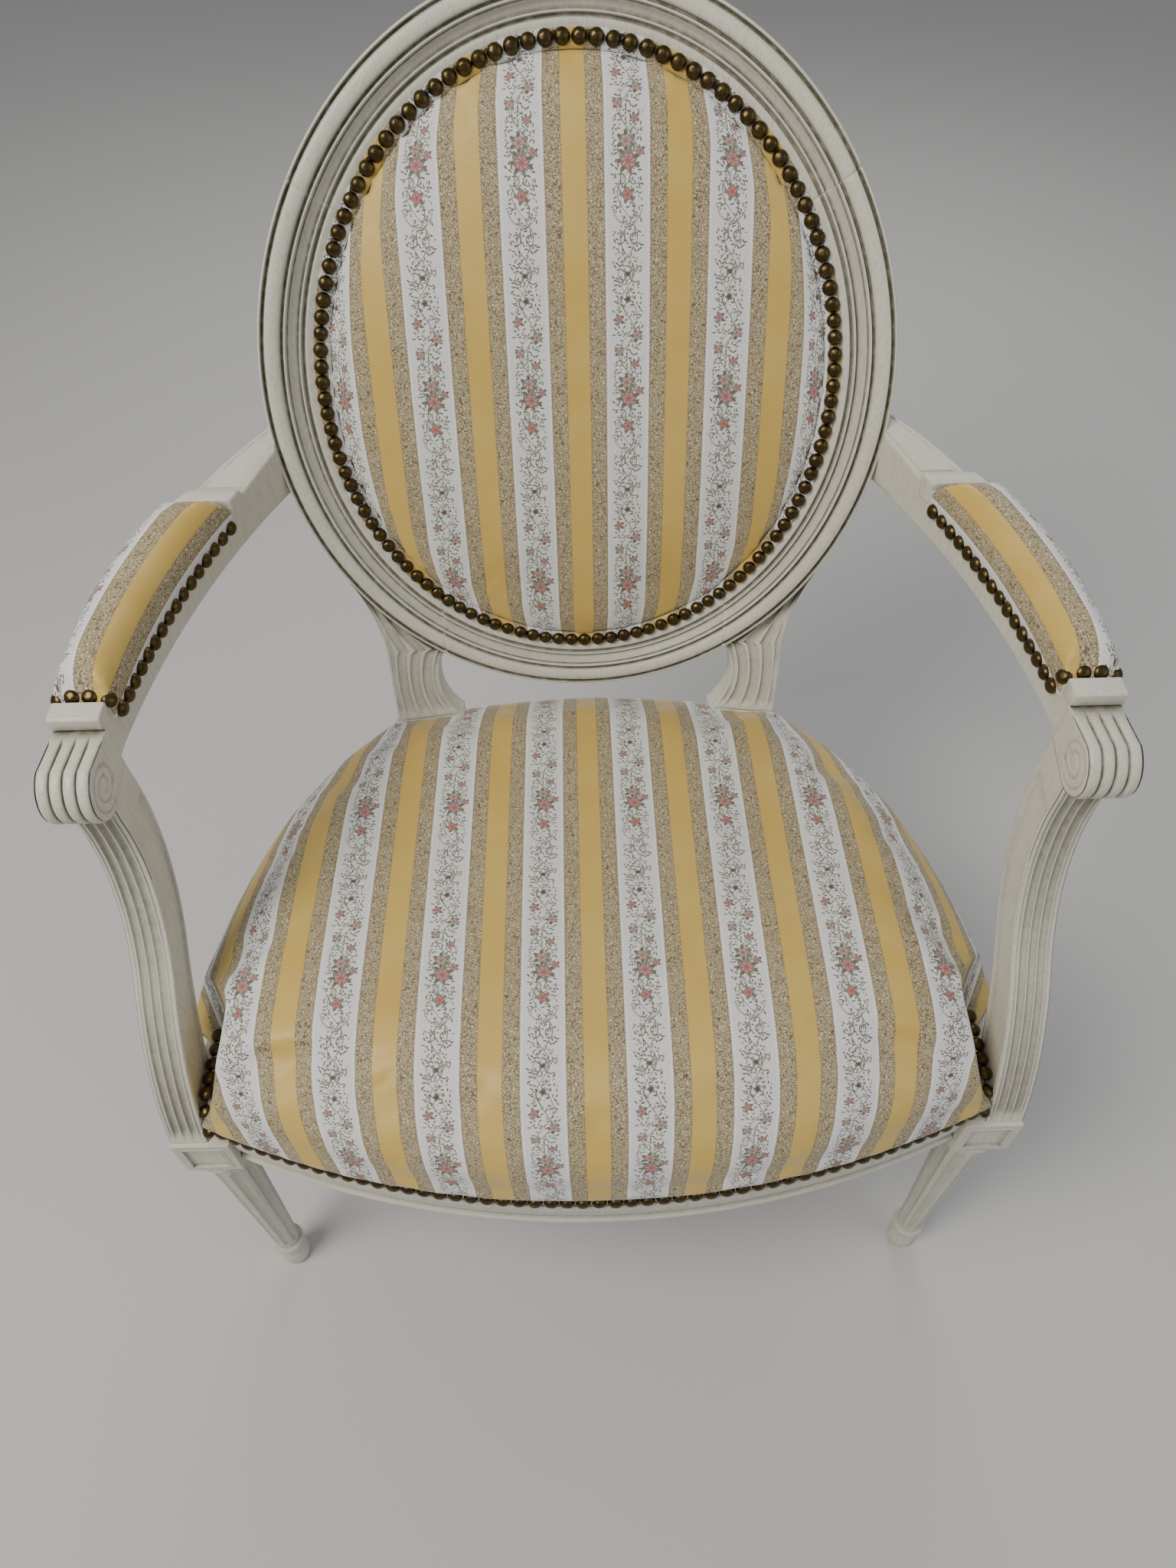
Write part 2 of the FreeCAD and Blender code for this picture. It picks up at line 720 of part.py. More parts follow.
def back_leg(side):
    """The back leg of the right-hand side, with its stile and its part of the oval."""
    rake = math.radians(BACK_LEG_RAKE)
    length = BLOCK_BOTTOM / math.cos(rake) + FOOT_RADIUS * math.tan(rake)
    leg = turned_leg(length)
    leg.translate(UP * -length)
    leg.rotate(ORIGIN, ACROSS, BACK_LEG_RAKE)
    leg.translate(V(BACK_LEG_X, BACK_LEG_Y, BLOCK_BOTTOM))
    below_floor = box((0, BACK_REACH), (0, 2 * BACK_REACH), (-BACK_REACH, 0))
    leg = leg.cut([below_floor, glide(back_foot(), FIT)])
    block = leg_block(BACK_LEG, BACK_BLOCK_WIDTH, BACK_BLOCK_DEPTH)
    leg = block.fuse([leg, side])
    return leg.cut([tenon(name, FIT) for name in ("side back", "back")])


# Arms and their supports

def arm_arc(front_half, middle_half, back_half):
    """Ends and middle of the arm's curve in plan, moved outwards from its centre line."""
    front = V(ARM_FRONT_X + front_half, ARM_CAP_Y, 0)
    centre_front = V(ARM_FRONT_X, ARM_CAP_Y, 0)
    centre_back = plan_point(*ARM_BACK)
    chord = centre_back - centre_front
    chord.normalize()
    outward = V(chord.y, -chord.x, 0)
    middle = (centre_front + centre_back) * 0.5 + outward * (ARM_BOW + middle_half)
    back = centre_back + outward * back_half
    return [(point.x, point.y) for point in (front, middle, back)]


def arm_plan():
    """The arm from above, run past its joint with the oval."""
    inner_front, inner_middle, inner_back = arm_arc(
        -ARM_HALF_WIDTH, -ARM_MIDDLE_HALF_WIDTH, -ARM_BACK_HALF_WIDTH
    )
    outer_front, outer_middle, outer_back = arm_arc(
        ARM_HALF_WIDTH, ARM_MIDDLE_HALF_WIDTH, ARM_BACK_HALF_WIDTH
    )
    run = ARM_RUN_PAST
    return face_of(
        plan_point,
        (inner_front[0], 0),
        inner_front,
        (inner_middle, inner_back),
        (inner_back[0] - run, inner_back[1] + run),
        (outer_back[0] - run, outer_back[1] + run),
        outer_back,
        (outer_middle, outer_front),
        (outer_front[0], 0),
    )


def on_scroll(angle):
    y, z = SCROLL_CENTRE
    turn = math.radians(angle)
    return y + SCROLL_RADIUS * math.cos(turn), z + SCROLL_RADIUS * math.sin(turn)


def arm_side():
    """The arm from the side, with its two caps and its scroll."""
    cap_front = ARM_CAP_Y - CAP_LENGTH
    rear_cap_end = REAR_CAP_Y + REAR_CAP_LENGTH
    return face_of(
        side_point,
        (ARM_END_Y, ARM_BACK_UNDERSIDE),
        (ARM_END_Y, ARM_END_TOP),
        (rear_cap_end, ARM_CAP_TOP),
        (rear_cap_end, ARM_CAP_TOP + CAP_RISE),
        (REAR_CAP_Y, ARM_CAP_TOP + CAP_RISE),
        (REAR_CAP_Y, ARM_CAP_TOP),
        (ARM_CAP_Y, ARM_TOP),
        (ARM_CAP_Y, ARM_TOP + CAP_RISE),
        (cap_front, ARM_TOP + CAP_RISE),
        (cap_front, ARM_TOP - CAP_RISE),
        on_scroll(SCROLL_START),
        (on_scroll((SCROLL_START + SCROLL_END) / 2), on_scroll(SCROLL_END)),
        (SUPPORT_REAR[0][0], ARM_UNDERSIDE),
    )


def arm_blank():
    plan = arm_plan().extrude(UP * (ARM_END_TOP + CAP_LENGTH))
    side = arm_side().extrude(ACROSS * (ARM_FRONT_X + BACK_REACH))
    return plan.common(side)


def scroll_flutes():
    """Grooves round the scroll, between its reeds."""
    width = 2 * ARM_HALF_WIDTH
    y, z = SCROLL_CENTRE
    reach = SCROLL_RADIUS + FLUTE_STANDOFF
    rings = []
    for index in range(SCROLL_FLUTES):
        x = ARM_FRONT_X - ARM_HALF_WIDTH + width * (index + 1) / (SCROLL_FLUTES + 1)
        rings.append(Part.makeTorus(reach, SCROLL_FLUTE_RADIUS, V(x, y, z), ACROSS))
    front = box(
        (0, 2 * ARM_FRONT_X),
        (0, ARM_CAP_Y - CAP_LENGTH),
        (z - SCROLL_RADIUS / 2, ARM_TOP + CAP_RISE),
    )
    return fused(rings).common(front)


def arm():
    wood = arm_blank().cut([scroll_flutes(), tilted(oval_rod(FRAME_OUTSIDE_NAILS))])
    return main_solid(wood).cut(arm_dowels(FIT))


def support_side():
    front_foot, front_low, front_middle, front_high, front_head = SUPPORT_FRONT
    rear_head, rear_high, rear_middle, rear_low, rear_foot = SUPPORT_REAR
    head_z = SCROLL_CENTRE[1]
    return face_of(
        side_point,
        front_foot,
        (front_low, front_middle),
        (front_high, front_head),
        (front_head[0], head_z),
        (rear_head[0], head_z),
        rear_head,
        (rear_high, rear_middle),
        (rear_low, rear_foot),
    )


def support_front():
    foot = BLOCK_TOP
    head = SCROLL_CENTRE[1]
    return face_of(
        lambda x, z: V(x, -LEG_X, z),
        (SUPPORT_FOOT_X[0], foot),
        (SUPPORT_FOOT_X[1], foot),
        (SUPPORT_HEAD_X[1], head),
        (SUPPORT_HEAD_X[0], head),
    )


def support_blank():
    side = support_side().extrude(ACROSS * (2 * LEG_X))
    return side.common(support_front().extrude(V(0, 2 * LEG_X, 0)))


def arm_support():
    """The swept support between a front block and the scroll of the arm."""
    blank = support_blank()
    front_layer = blank.cut(blank.translated(V(0, SUPPORT_FLUTE_RADIUS, 0)))
    width = SUPPORT_FOOT_X[1] - SUPPORT_FOOT_X[0]
    lean = (SUPPORT_HEAD_X[0] - SUPPORT_FOOT_X[0]) / (SCROLL_CENTRE[1] - BLOCK_TOP)
    for index in range(SUPPORT_FLUTES):
        x = SUPPORT_FOOT_X[0] + width * (index + 1) / (SUPPORT_FLUTES + 1)
        slot = box(
            (x - SUPPORT_FLUTE_RADIUS, x + SUPPORT_FLUTE_RADIUS),
            (-LEG_X, LEG_X),
            (BLOCK_TOP + FLUTE_MARGIN / 2, SCROLL_CENTRE[1] - SCROLL_RADIUS),
        )
        slot.rotate(V(x, 0, BLOCK_TOP), V(0, 1, 0), math.degrees(math.atan(lean)))
        blank = blank.cut(front_layer.common(slot))
    return main_solid(blank.cut(arm_blank())).cut(arm_dowels(FIT))


def arm_dowels(grow=0.0):
    """The dowels at the foot and head of a support and at the back of the arm."""
    radius = DOWEL_RADIUS + grow
    length = DOWEL_LENGTH + 2 * grow
    foot = V(FOOT_DOWEL[0], FOOT_DOWEL[1], BLOCK_TOP - length / 2)
    head = V(ARM_FRONT_X, HEAD_DOWEL[0], HEAD_DOWEL[1] - length / 2)
    back = V(*BACK_DOWEL)
    direction = direction_at(BACK_DOWEL_ANGLE)
    return [
        Part.makeCylinder(radius, length, foot, UP),
        Part.makeCylinder(radius, length, head, UP),
        Part.makeCylinder(radius, length, back - direction * (length / 2), direction),
    ]


# Seat upholstery

def notch_room(gap):
    """The room that a seat soft part leaves beside an arm support, under a bevel."""
    foot = NOTCH_FOOT_X - gap
    bevel_x, bevel_z = NOTCH_BEVEL_TOP
    top_x, top_z = NOTCH_TOP
    outline = face_of(
        lambda x, z: V(x, -BACK_REACH, z),
        (foot, RAIL_BOTTOM),
        (2 * BACK_REACH, RAIL_BOTTOM),
        (2 * BACK_REACH, top_z),
        (top_x - gap, top_z),
        (bevel_x - gap, bevel_z),
        (foot, NOTCH_BEVEL_FOOT),
    )
    return outline.extrude(V(0, BACK_REACH + NOTCH_END_Y + gap, 0))


def stile_room(gap):
    """The room that a seat soft part leaves for a stile, in the plane of the back."""
    column = box(
        (STILE_PLINTH_INNER - gap, STILE_OUTER_WAIST[0] + gap),
        (-BACK_REACH, BACK_REACH),
        (STILE_OUTER_FOOT[1] - TENON_ROOT, OVAL_HALF_HEIGHT),
    )
    return tilted(column.common(hollow_slab(STILE_SETBACK - gap, FRAME_DEPTH + gap)))


def frame_room(gap):
    """What the wood of the frame takes from a soft part of the seat, on both sides."""
    back_block = leg_block(BACK_LEG, BACK_BLOCK_WIDTH, BACK_BLOCK_DEPTH, gap)
    pieces = [
        notch_room(gap),
        stile_room(gap),
        leg_block(FRONT_LEG, BLOCK_SIZE, BLOCK_SIZE, gap),
        back_block,
        back_block.translated(UP * (RAIL_TOP - BLOCK_TOP)),
    ]
    return pieces + [mirrored(piece) for piece in pieces]


def cushion(inset, low):
    """The seat's shape above a height, with its surface drawn in by an inset."""
    skirt = seat_slab(SKIRT_OFFSET - inset, low, RAIL_TOP)
    return skirt.fuse(seat_loft(SEAT_CROWN, inset))


def seat_soft_parts():
    """The cover of the seat, the padding in it and the hessian over the springs."""
    room = frame_room(SOFT_GAP)
    inner_room = frame_room(SOFT_GAP + COVER_THICKNESS)
    filling = cushion(COVER_THICKNESS, RAIL_BOTTOM).cut(inner_room)
    above_rails = RAIL_TOP + SOFT_GAP
    rails = seat_slab(SKIRT_OFFSET - COVER_THICKNESS, RAIL_BOTTOM, above_rails)
    cover = cushion(0, SKIRT_LOW).cut([filling, rails] + room)
    above = seat_slab(BACK_REACH / 4, above_rails, RAIL_TOP + BACK_REACH)
    hessian_outer = seat_loft(HESSIAN_CROWN)
    below = seat_slab(BACK_REACH / 4, RAIL_BOTTOM, above_rails)
    hollow = seat_loft(HESSIAN_CROWN, CLOTH_THICKNESS).fuse(below)
    padding = filling.common(above).cut(hessian_outer)
    hessian = hessian_outer.cut([hollow] + inner_room)
    return main_solid(cover), main_solid(padding), main_solid(hessian)


def web_strips(low, lengthwise):
    """Parallel strips of webbing inside the seat plan."""
    region = seat_slab(-WEB_INSET, low, low + WEB_THICKNESS)
    strips = []
    for index in range(-WEB_COUNT_HALF, WEB_COUNT_HALF + 1):
        shift = index * WEB_SPACING
        edges = (shift - WEB_WIDTH / 2, shift + WEB_WIDTH / 2)
        far = (-2 * BACK_REACH, 2 * BACK_REACH)
        if lengthwise:
            strip = box(edges, far, (0, BACK_REACH * 2))
        else:
            moved = (edges[0] + SEAT_MIDDLE_Y, edges[1] + SEAT_MIDDLE_Y)
            strip = box(far, moved, (0, BACK_REACH * 2))
        strips.append(region.common(strip))
    return strips


def block_rooms():
    """What the four blocks of the legs take from the cloth under the rails."""
    right = [
        leg_block(FRONT_LEG, BLOCK_SIZE, BLOCK_SIZE, SOFT_GAP),
        leg_block(BACK_LEG, BACK_BLOCK_WIDTH, BACK_BLOCK_DEPTH, SOFT_GAP),
    ]
    return right + [mirrored(block) for block in right]


def seat_webbing():
    rooms = block_rooms()
    upper = web_strips(RAIL_BOTTOM - WEB_THICKNESS, True)
    lower = web_strips(RAIL_BOTTOM - 2 * WEB_THICKNESS, False)
    return [strip.cut(rooms) for strip in upper + lower]


def dust_cover():
    top = RAIL_BOTTOM - 2 * WEB_THICKNESS
    return seat_slab(-WEB_INSET, top - CLOTH_THICKNESS, top).cut(block_rooms())


def seat_spring():
    """One coil spring with a waist."""
    steps = SPRING_TURNS * SPRING_STEPS
    points = []
    for step in range(steps + 1):
        height = 2 * step / steps - 1
        radius = SPRING_WAIST_RADIUS + (SPRING_END_RADIUS - SPRING_WAIST_RADIUS) * height ** 2
        angle = 2 * math.pi * step / SPRING_STEPS
        flat = V(radius * math.cos(angle), radius * math.sin(angle), 0)
        points.append(flat + UP * (SPRING_HALF_HEIGHT * height))
    line = Part.BSplineCurve()
    line.interpolate(points)
    heading = line.tangent(line.FirstParameter)[0]
    section = Part.Wire(Part.makeCircle(SPRING_WIRE_RADIUS, points[0], heading))
    spring = Part.Wire(line.toShape()).makePipeShell([section], True, True)
    spring.translate(UP * (RAIL_BOTTOM + SPRING_HALF_HEIGHT + SPRING_WIRE_RADIUS + SOFT_GAP))
    return spring


def seat_springs():
    spring = seat_spring()
    springs = []
    for column in (-1, 0, 1):
        for row in (-1, 0, 1):
            place = V(column * SPRING_SPACING, SPRING_MIDDLE_Y + row * SPRING_SPACING, 0)
            springs.append(spring.translated(place))
    return springs


def corner_block():
    """The glued block inside a front corner of the seat frame."""
    half = BLOCK_SIZE / 2
    leg = CORNER_BLOCK_LEG
    top = RAIL_TOP - 2 * SOFT_GAP
    corner = V(SIDE_START[0] - RAIL_THICKNESS, FRONT_TENON_Y, 0)
    points = [
        corner + V(0, half, 0),
        corner + V(0, half + leg, 0),
        corner + V(-half - leg, half / 2, 0),
        corner + V(-half - leg, -half, 0),
        corner + V(0, -half, 0),
    ]
    wedge = Part.Face(Part.makePolygon(points + points[:1])).extrude(UP * CORNER_BLOCK_HEIGHT)
    wedge.translate(UP * (top - CORNER_BLOCK_HEIGHT))
    inside = seat_slab(-RAIL_THICKNESS - FIT, RAIL_BOTTOM, RAIL_TOP)
    block = wedge.common(inside).cut(leg_block(FRONT_LEG, BLOCK_SIZE, BLOCK_SIZE, FIT))
    return main_solid(block.cut(corner_screws(FIT, CORNER_BLOCK_LEG)))


def corner_screws(grow=0.0, access=0.0):
    """A screw into the front rail and one into the side rail, with room before their heads."""
    screws = []
    for place, direction in (
        (V(SCREW_FRONT[0], SCREW_FRONT[1], SCREW_Z), V(0, -1, 0)),
        (V(SCREW_SIDE[0], SCREW_SIDE[1], SCREW_Z), V(1, 0, 0)),
    ):
        wide = SCREW_HEAD_RADIUS + grow
        thin = SCREW_RADIUS + grow
        head = Part.makeCone(wide, thin, SCREW_HEAD_HEIGHT, place, direction)
        shank = Part.makeCylinder(thin, SCREW_LENGTH + grow, place, direction)
        screw = head.fuse(shank)
        if access:
            screw = screw.fuse(Part.makeCylinder(wide, access, place - direction * access, direction))
        screws.append(screw)
    return screws


# Upholstery nails

def nail_head():
    sphere_radius = (NAIL_RADIUS ** 2 + NAIL_HEIGHT ** 2) / (2 * NAIL_HEIGHT)
    half = math.atan2(NAIL_RADIUS, sphere_radius - NAIL_HEIGHT) / 2
    middle = (
        sphere_radius * math.sin(half),
        NAIL_HEIGHT - sphere_radius + sphere_radius * math.cos(half),
    )
    dome = face_of(lambda r, z: V(r, 0, z), (0, 0), (NAIL_RADIUS, 0), (middle, (0, NAIL_HEIGHT)))
    return dome.revolve(ORIGIN, UP, 360)


NAIL = nail_head()


def nail_at(point, outward):
    nail = NAIL.copy()
    away = V(outward)
    away.normalize()
    nail.Placement = FreeCAD.Placement(point + away * NAIL_GAP, FreeCAD.Rotation(UP, away))
    return nail


def nails_on_arc(circle, start, end, z):
    """Touching nails along an arc of the seat plan, facing outwards."""
    first = start - circle.centre
    last = end - circle.centre
    turn = first.getAngle(last)
    count = max(1, int(turn * circle.radius / NAIL_PITCH))
    spin = 1 if first.cross(last).z > 0 else -1
    nails = []
    for index in range(count):
        angle = spin * turn * (index + 0.5) / count
        outward = V(
            first.x * math.cos(angle) - first.y * math.sin(angle),
            first.x * math.sin(angle) + first.y * math.cos(angle),
            0,
        )
        outward.normalize()
        nails.append(nail_at(circle.centre + outward * circle.radius + UP * z, outward))
    return nails


def x_on(circle, y, z=0):
    """The point of a circle at a given y, on its right-hand side."""
    return V(circle.centre.x + math.sqrt(circle.radius ** 2 - (y - circle.centre.y) ** 2), y, z)


def y_on(circle, x, front):
    rise = math.sqrt(circle.radius ** 2 - (x - circle.centre.x) ** 2)
    return V(x, circle.centre.y + (-rise if front else rise), 0)


def seat_nails():
    skin = -COVER_THICKNESS
    front = FRONT_ARC.grown(skin)
    fore = SIDE_FRONT_ARC.grown(skin)
    aft = SIDE_REAR_ARC.grown(skin)
    back = REAR_ARC.grown(skin)
    corner = y_on(front, NOTCH_FOOT_X - SOFT_GAP - NAIL_RADIUS, True)
    along_front = nails_on_arc(front, flipped(corner), corner, SEAT_NAIL_Z)
    joint = fore.toward(SIDE_JOINT)
    clear = BACK_BLOCK_WIDTH / 2 + NAIL_RADIUS
    side = nails_on_arc(fore, x_on(fore, NOTCH_END_Y + NAIL_RADIUS), joint, SEAT_NAIL_Z)
    side += nails_on_arc(aft, joint, y_on(aft, BACK_LEG_X + clear, False), SEAT_NAIL_Z)
    rear_corner = y_on(back, BACK_LEG_X - clear, False)
    along_rear = nails_on_arc(back, flipped(rear_corner), rear_corner, SEAT_NAIL_Z)
    corners = notch_nails()
    return {
        "seat_front_nails": along_front + corners + [mirrored(nail) for nail in corners],
        "seat_side_nails": side + [mirrored(nail) for nail in side],
        "seat_rear_nails": along_rear,
    }


def notch_nails():
    """The nails that run back beside an arm support, on the bevel of the seat cover."""
    foot = V(NOTCH_FOOT_X - SOFT_GAP, 0, NOTCH_BEVEL_FOOT)
    climb = V(NOTCH_BEVEL_TOP[0] - SOFT_GAP, 0, NOTCH_BEVEL_TOP[1]) - foot
    outward = V(climb.z, 0, -climb.x)
    line = foot + climb * NOTCH_NAIL_SHARE
    nails = []
    for index in range(NOTCH_NAIL_COUNT):
        place = line + V(0, NOTCH_NAIL_START + NAIL_PITCH * index, 0)
        nails.append(nail_at(place, outward))
    return nails


def oval_points(inset):
    """Evenly spaced points of the nail line's ellipse, moved inwards by an inset."""
    wide = OVAL_HALF_WIDTH - inset
    high = OVAL_HALF_HEIGHT - inset
    turns = [2 * math.pi * index / OVAL_STEPS for index in range(OVAL_STEPS + 1)]
    line = [V(wide * math.sin(t), 0, OVAL_HALF_HEIGHT - high * math.cos(t)) for t in turns]
    reach = [0.0]
    for here, there in zip(line, line[1:]):
        reach.append(reach[-1] + (there - here).Length)
    count = int(reach[-1] / NAIL_PITCH)
    points = []
    place = 0
    for index in range(count):
        while reach[place] < reach[-1] * index / count:
            place += 1
        points.append(line[place])
    return points


def oval_nails(inset, depth, facing):
    """Nails round the oval, on its hollow front (facing 1) or its back (facing -1)."""
    nails = []
    radius = BACK_HOLLOW_RADIUS + depth
    for point in oval_points(inset):
        reach = math.sqrt(radius ** 2 - point.x ** 2)
        place = V(point.x, reach - BACK_HOLLOW_RADIUS, point.z)
        inward = V(-point.x, -reach, 0)
        nails.append(tilted(nail_at(place, inward * facing)))
    return nails


# Back upholstery

def back_dome(inset):
    """The bulge of the back padding: an oval rod under a large cylinder."""
    rise = BACK_DOME - BACK_DOME_EDGE
    radius = (OVAL_HALF_HEIGHT ** 2 + rise ** 2) / (2 * rise)
    centre = V(-BACK_REACH, radius - BACK_DOME, OVAL_HALF_HEIGHT)
    drum = Part.makeCylinder(radius - inset, 2 * BACK_REACH, centre, ACROSS)
    return oval_rod(-BACK_DOME_INSET - inset).common(drum)


def back_soft_parts():
    layers = 2 * WEB_THICKNESS
    front_room = hollow_slab(-BACK_REACH / 2, 0)
    skin_room = hollow_slab(-BACK_REACH / 2, -layers)
    outer = back_dome(0).common(front_room)
    padding = back_dome(COVER_THICKNESS).common(skin_room)
    core = back_dome(COVER_THICKNESS).common(front_room)
    rim = oval_band(-BACK_DOME_INSET - COVER_THICKNESS, BACK_RIM_OUTSIDE, -COVER_THICKNESS, 0)
    cover = outer.cut(core).fuse(rim)
    behind = hollow_slab(FRAME_DEPTH, FRAME_DEPTH + REAR_PANEL_THICKNESS)
    rear = oval_rod(-REAR_PANEL_INSET).common(behind)
    return tilted(cover), tilted(padding), tilted(rear)


def back_webbing():
    """Upright and level strips across the oval, one layer behind the other."""
    strips = []
    inside = oval_rod(-BACK_DOME_INSET - COVER_THICKNESS - SOFT_GAP)
    near = inside.common(hollow_slab(-2 * WEB_THICKNESS, -WEB_THICKNESS))
    far = inside.common(hollow_slab(-WEB_THICKNESS, 0))
    for index in range(-WEB_COUNT_HALF, WEB_COUNT_HALF + 1):
        shift = index * BACK_WEB_SPACING
        edges = (shift - BACK_WEB_WIDTH / 2, shift + BACK_WEB_WIDTH / 2)
        wide = (-BACK_REACH, BACK_REACH)
        upright = near.common(box(edges, wide, (-BACK_REACH, 2 * BACK_REACH)))
        raised = (edges[0] + OVAL_HALF_HEIGHT, edges[1] + OVAL_HALF_HEIGHT)
        level = far.common(box(wide, wide, raised))
        strips += [tilted(upright), tilted(level)]
    return strips


# Arm pads

def pad_wire(rise, side_inset, end_inset):
    """The outline of an arm pad at a height above the arm, drawn in at sides and ends."""
    outer = three_point_circle(arm_arc(ARM_HALF_WIDTH, ARM_MIDDLE_HALF_WIDTH, ARM_BACK_HALF_WIDTH))
    inner = three_point_circle(arm_arc(-ARM_HALF_WIDTH, -ARM_MIDDLE_HALF_WIDTH, -ARM_BACK_HALF_WIDTH))
    outer = outer.grown(-side_inset)
    inner = inner.grown(side_inset)
    low = ARM_CAP_Y + end_inset
    high = REAR_CAP_Y - end_inset
    a = x_on(inner, low)
    b = x_on(outer, low)
    c = x_on(outer, high)
    d = x_on(inner, high)
    edges = [
        Part.LineSegment(a, b).toShape(),
        arc_edge(outer, b, c),
        Part.LineSegment(c, d).toShape(),
        arc_edge(inner, d, a),
    ]
    wire = Part.Wire(edges)
    wire.translate(UP * rise)
    return wire


def on_arm(shape):
    """Moves a shape made on a level plane onto the sloping top of the arm."""
    slope = math.degrees(math.atan2(ARM_CAP_TOP - ARM_TOP, REAR_CAP_Y - ARM_CAP_Y))
    piece = shape.copy()
    piece.rotate(V(0, ARM_CAP_Y, 0), ACROSS, slope)
    piece.translate(UP * ARM_TOP)
    return piece


def pad_loft(inset, drop):
    wires = []
    for rise, side_inset, end_inset in PAD_LEVELS.values():
        wires.append(pad_wire(rise - drop, side_inset + inset, end_inset + inset))
    return Part.makeLoft(wires, True, False)


def arm_pad():
    """The padding of an arm and the cover over it."""
    outer = pad_loft(0, 0)
    reach = (0, 2 * LEG_X)
    above = box(reach, reach, (PAD_LEVELS["edge"][0], ARM_TOP))
    padding = pad_loft(COVER_THICKNESS, COVER_THICKNESS).common(above)
    return on_arm(padding), on_arm(outer.cut(padding))


def arm_pad_nails():
    """Nails round the foot of an arm pad."""
    wire = pad_wire(PAD_NAIL_RISE, *PAD_NAIL_INSETS)
    middle = wire.BoundBox.Center
    nails = []
    for edge in wire.OrderedEdges:
        count = int(edge.Length / NAIL_PITCH)
        for index in range(count):
            share = (index + 0.5) / count
            spot = edge.FirstParameter + (edge.LastParameter - edge.FirstParameter) * share
            outward = edge.tangentAt(spot).cross(UP)
            point = edge.valueAt(spot)
            if outward.dot(point - middle) < 0:
                outward = -outward
            nails.append(on_arm(nail_at(point, outward)))
    return nails


# The whole chair

def compound(shapes):
    return Part.makeCompound(shapes)


def chair():
    """Every node of the chair by name, still with y = 0 through the front legs."""
    nodes = seat_rails()
    frame_top, frame_bottom, side = back_frame()
    nodes["back_top_rail"] = frame_top
    nodes["back_bottom_rail"] = frame_bottom
    nodes["back_frame_dowels"] = tilted(compound(frame_dowels()))
    pad, pad_cover = arm_pad()
    right_hand = {
        "front_leg": front_leg(),
        "back_leg": back_leg(side),
        "arm": arm(),
        "arm_support": arm_support(),
        "arm_pad": pad,
        "arm_pad_cover": pad_cover,
    }
    for name, piece in right_hand.items():
        nodes[name + "_right"], nodes[name + "_left"] = both(piece)
    pairs = {
        "arm_dowels": arm_dowels(),
        "corner_blocks": [corner_block()],
        "corner_screws": corner_screws(),
        "foot_glides": [glide(FRONT_LEG), glide(back_foot())],
        "arm_pad_nails": arm_pad_nails(),
    }
    for name, pieces in pairs.items():
        nodes[name] = compound(pieces + [mirrored(piece) for piece in pieces])
    seat_cover, seat_padding, spring_hessian = seat_soft_parts()
    back_cover, back_padding, back_rear_cover = back_soft_parts()
    nodes["seat_cover"] = seat_cover
    nodes["seat_padding"] = seat_padding
    nodes["spring_hessian"] = spring_hessian
    nodes["seat_springs"] = compound(seat_springs())
    nodes["seat_webbing"] = compound(seat_webbing())
    nodes["dust_cover"] = dust_cover()
    nodes["back_cover"] = back_cover
    nodes["back_padding"] = back_padding
    nodes["back_rear_cover"] = back_rear_cover
    nodes["back_webbing"] = compound(back_webbing())
    for name, nails in seat_nails().items():
        nodes[name] = compound(nails)
    nodes["back_front_nails"] = compound(oval_nails(0, -COVER_THICKNESS, 1))
    rear_depth = FRAME_DEPTH + REAR_PANEL_THICKNESS
    nodes["back_rear_nails"] = compound(oval_nails(REAR_NAIL_INSET, rear_depth, -1))
    return nodes


def middle_y(shapes):
    """The middle of the chair from front to back, from its outermost points."""
    low = min(shape.optimalBoundingBox().YMin for shape in shapes)
    high = max(shape.optimalBoundingBox().YMax for shape in shapes)
    return (low + high) / 2


def main():
    os.makedirs("parts", exist_ok=True)
    nodes = chair()
    shift = V(0, -middle_y([nodes["seat_cover"], nodes["seat_front_nails"], nodes["back_top_rail"]]), 0)
    for name, shape in nodes.items():
        placed = shape.copy()
        placed.translate(shift)
        placed.exportStep(os.path.join("parts", name + ".step"))
        print(name, len(placed.Solids), round(placed.Volume))


main()
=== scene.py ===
"""Looks of an oval-back fauteuil: painted beech, woven striped cover and antique nails.

Lengths are worked out in millimetres from the middle of the front legs, chair facing -Y,
and are turned into metres in the frame's place as each mesh is made.
"""
import math

import bmesh
import bpy
import numpy as np
from mathutils import Matrix, Vector
from mathutils.kdtree import KDTree


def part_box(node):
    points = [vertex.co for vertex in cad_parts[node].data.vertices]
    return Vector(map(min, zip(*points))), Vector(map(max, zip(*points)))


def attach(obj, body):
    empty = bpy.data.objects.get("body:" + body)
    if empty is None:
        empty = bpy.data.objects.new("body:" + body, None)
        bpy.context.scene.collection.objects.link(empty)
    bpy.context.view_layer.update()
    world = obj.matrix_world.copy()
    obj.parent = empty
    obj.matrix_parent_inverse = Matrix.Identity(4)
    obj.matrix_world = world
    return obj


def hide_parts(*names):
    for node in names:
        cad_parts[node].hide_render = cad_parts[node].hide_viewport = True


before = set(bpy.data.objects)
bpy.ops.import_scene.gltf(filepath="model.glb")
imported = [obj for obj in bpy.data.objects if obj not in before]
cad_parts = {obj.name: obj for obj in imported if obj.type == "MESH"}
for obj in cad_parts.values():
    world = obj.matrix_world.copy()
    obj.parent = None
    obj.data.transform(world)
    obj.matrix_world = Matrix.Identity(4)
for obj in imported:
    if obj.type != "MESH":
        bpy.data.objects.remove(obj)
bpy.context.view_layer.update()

MM = 0.001
leg_low, leg_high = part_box("front_leg_right")
LEGS_Y = (leg_low.y + leg_high.y) / 2
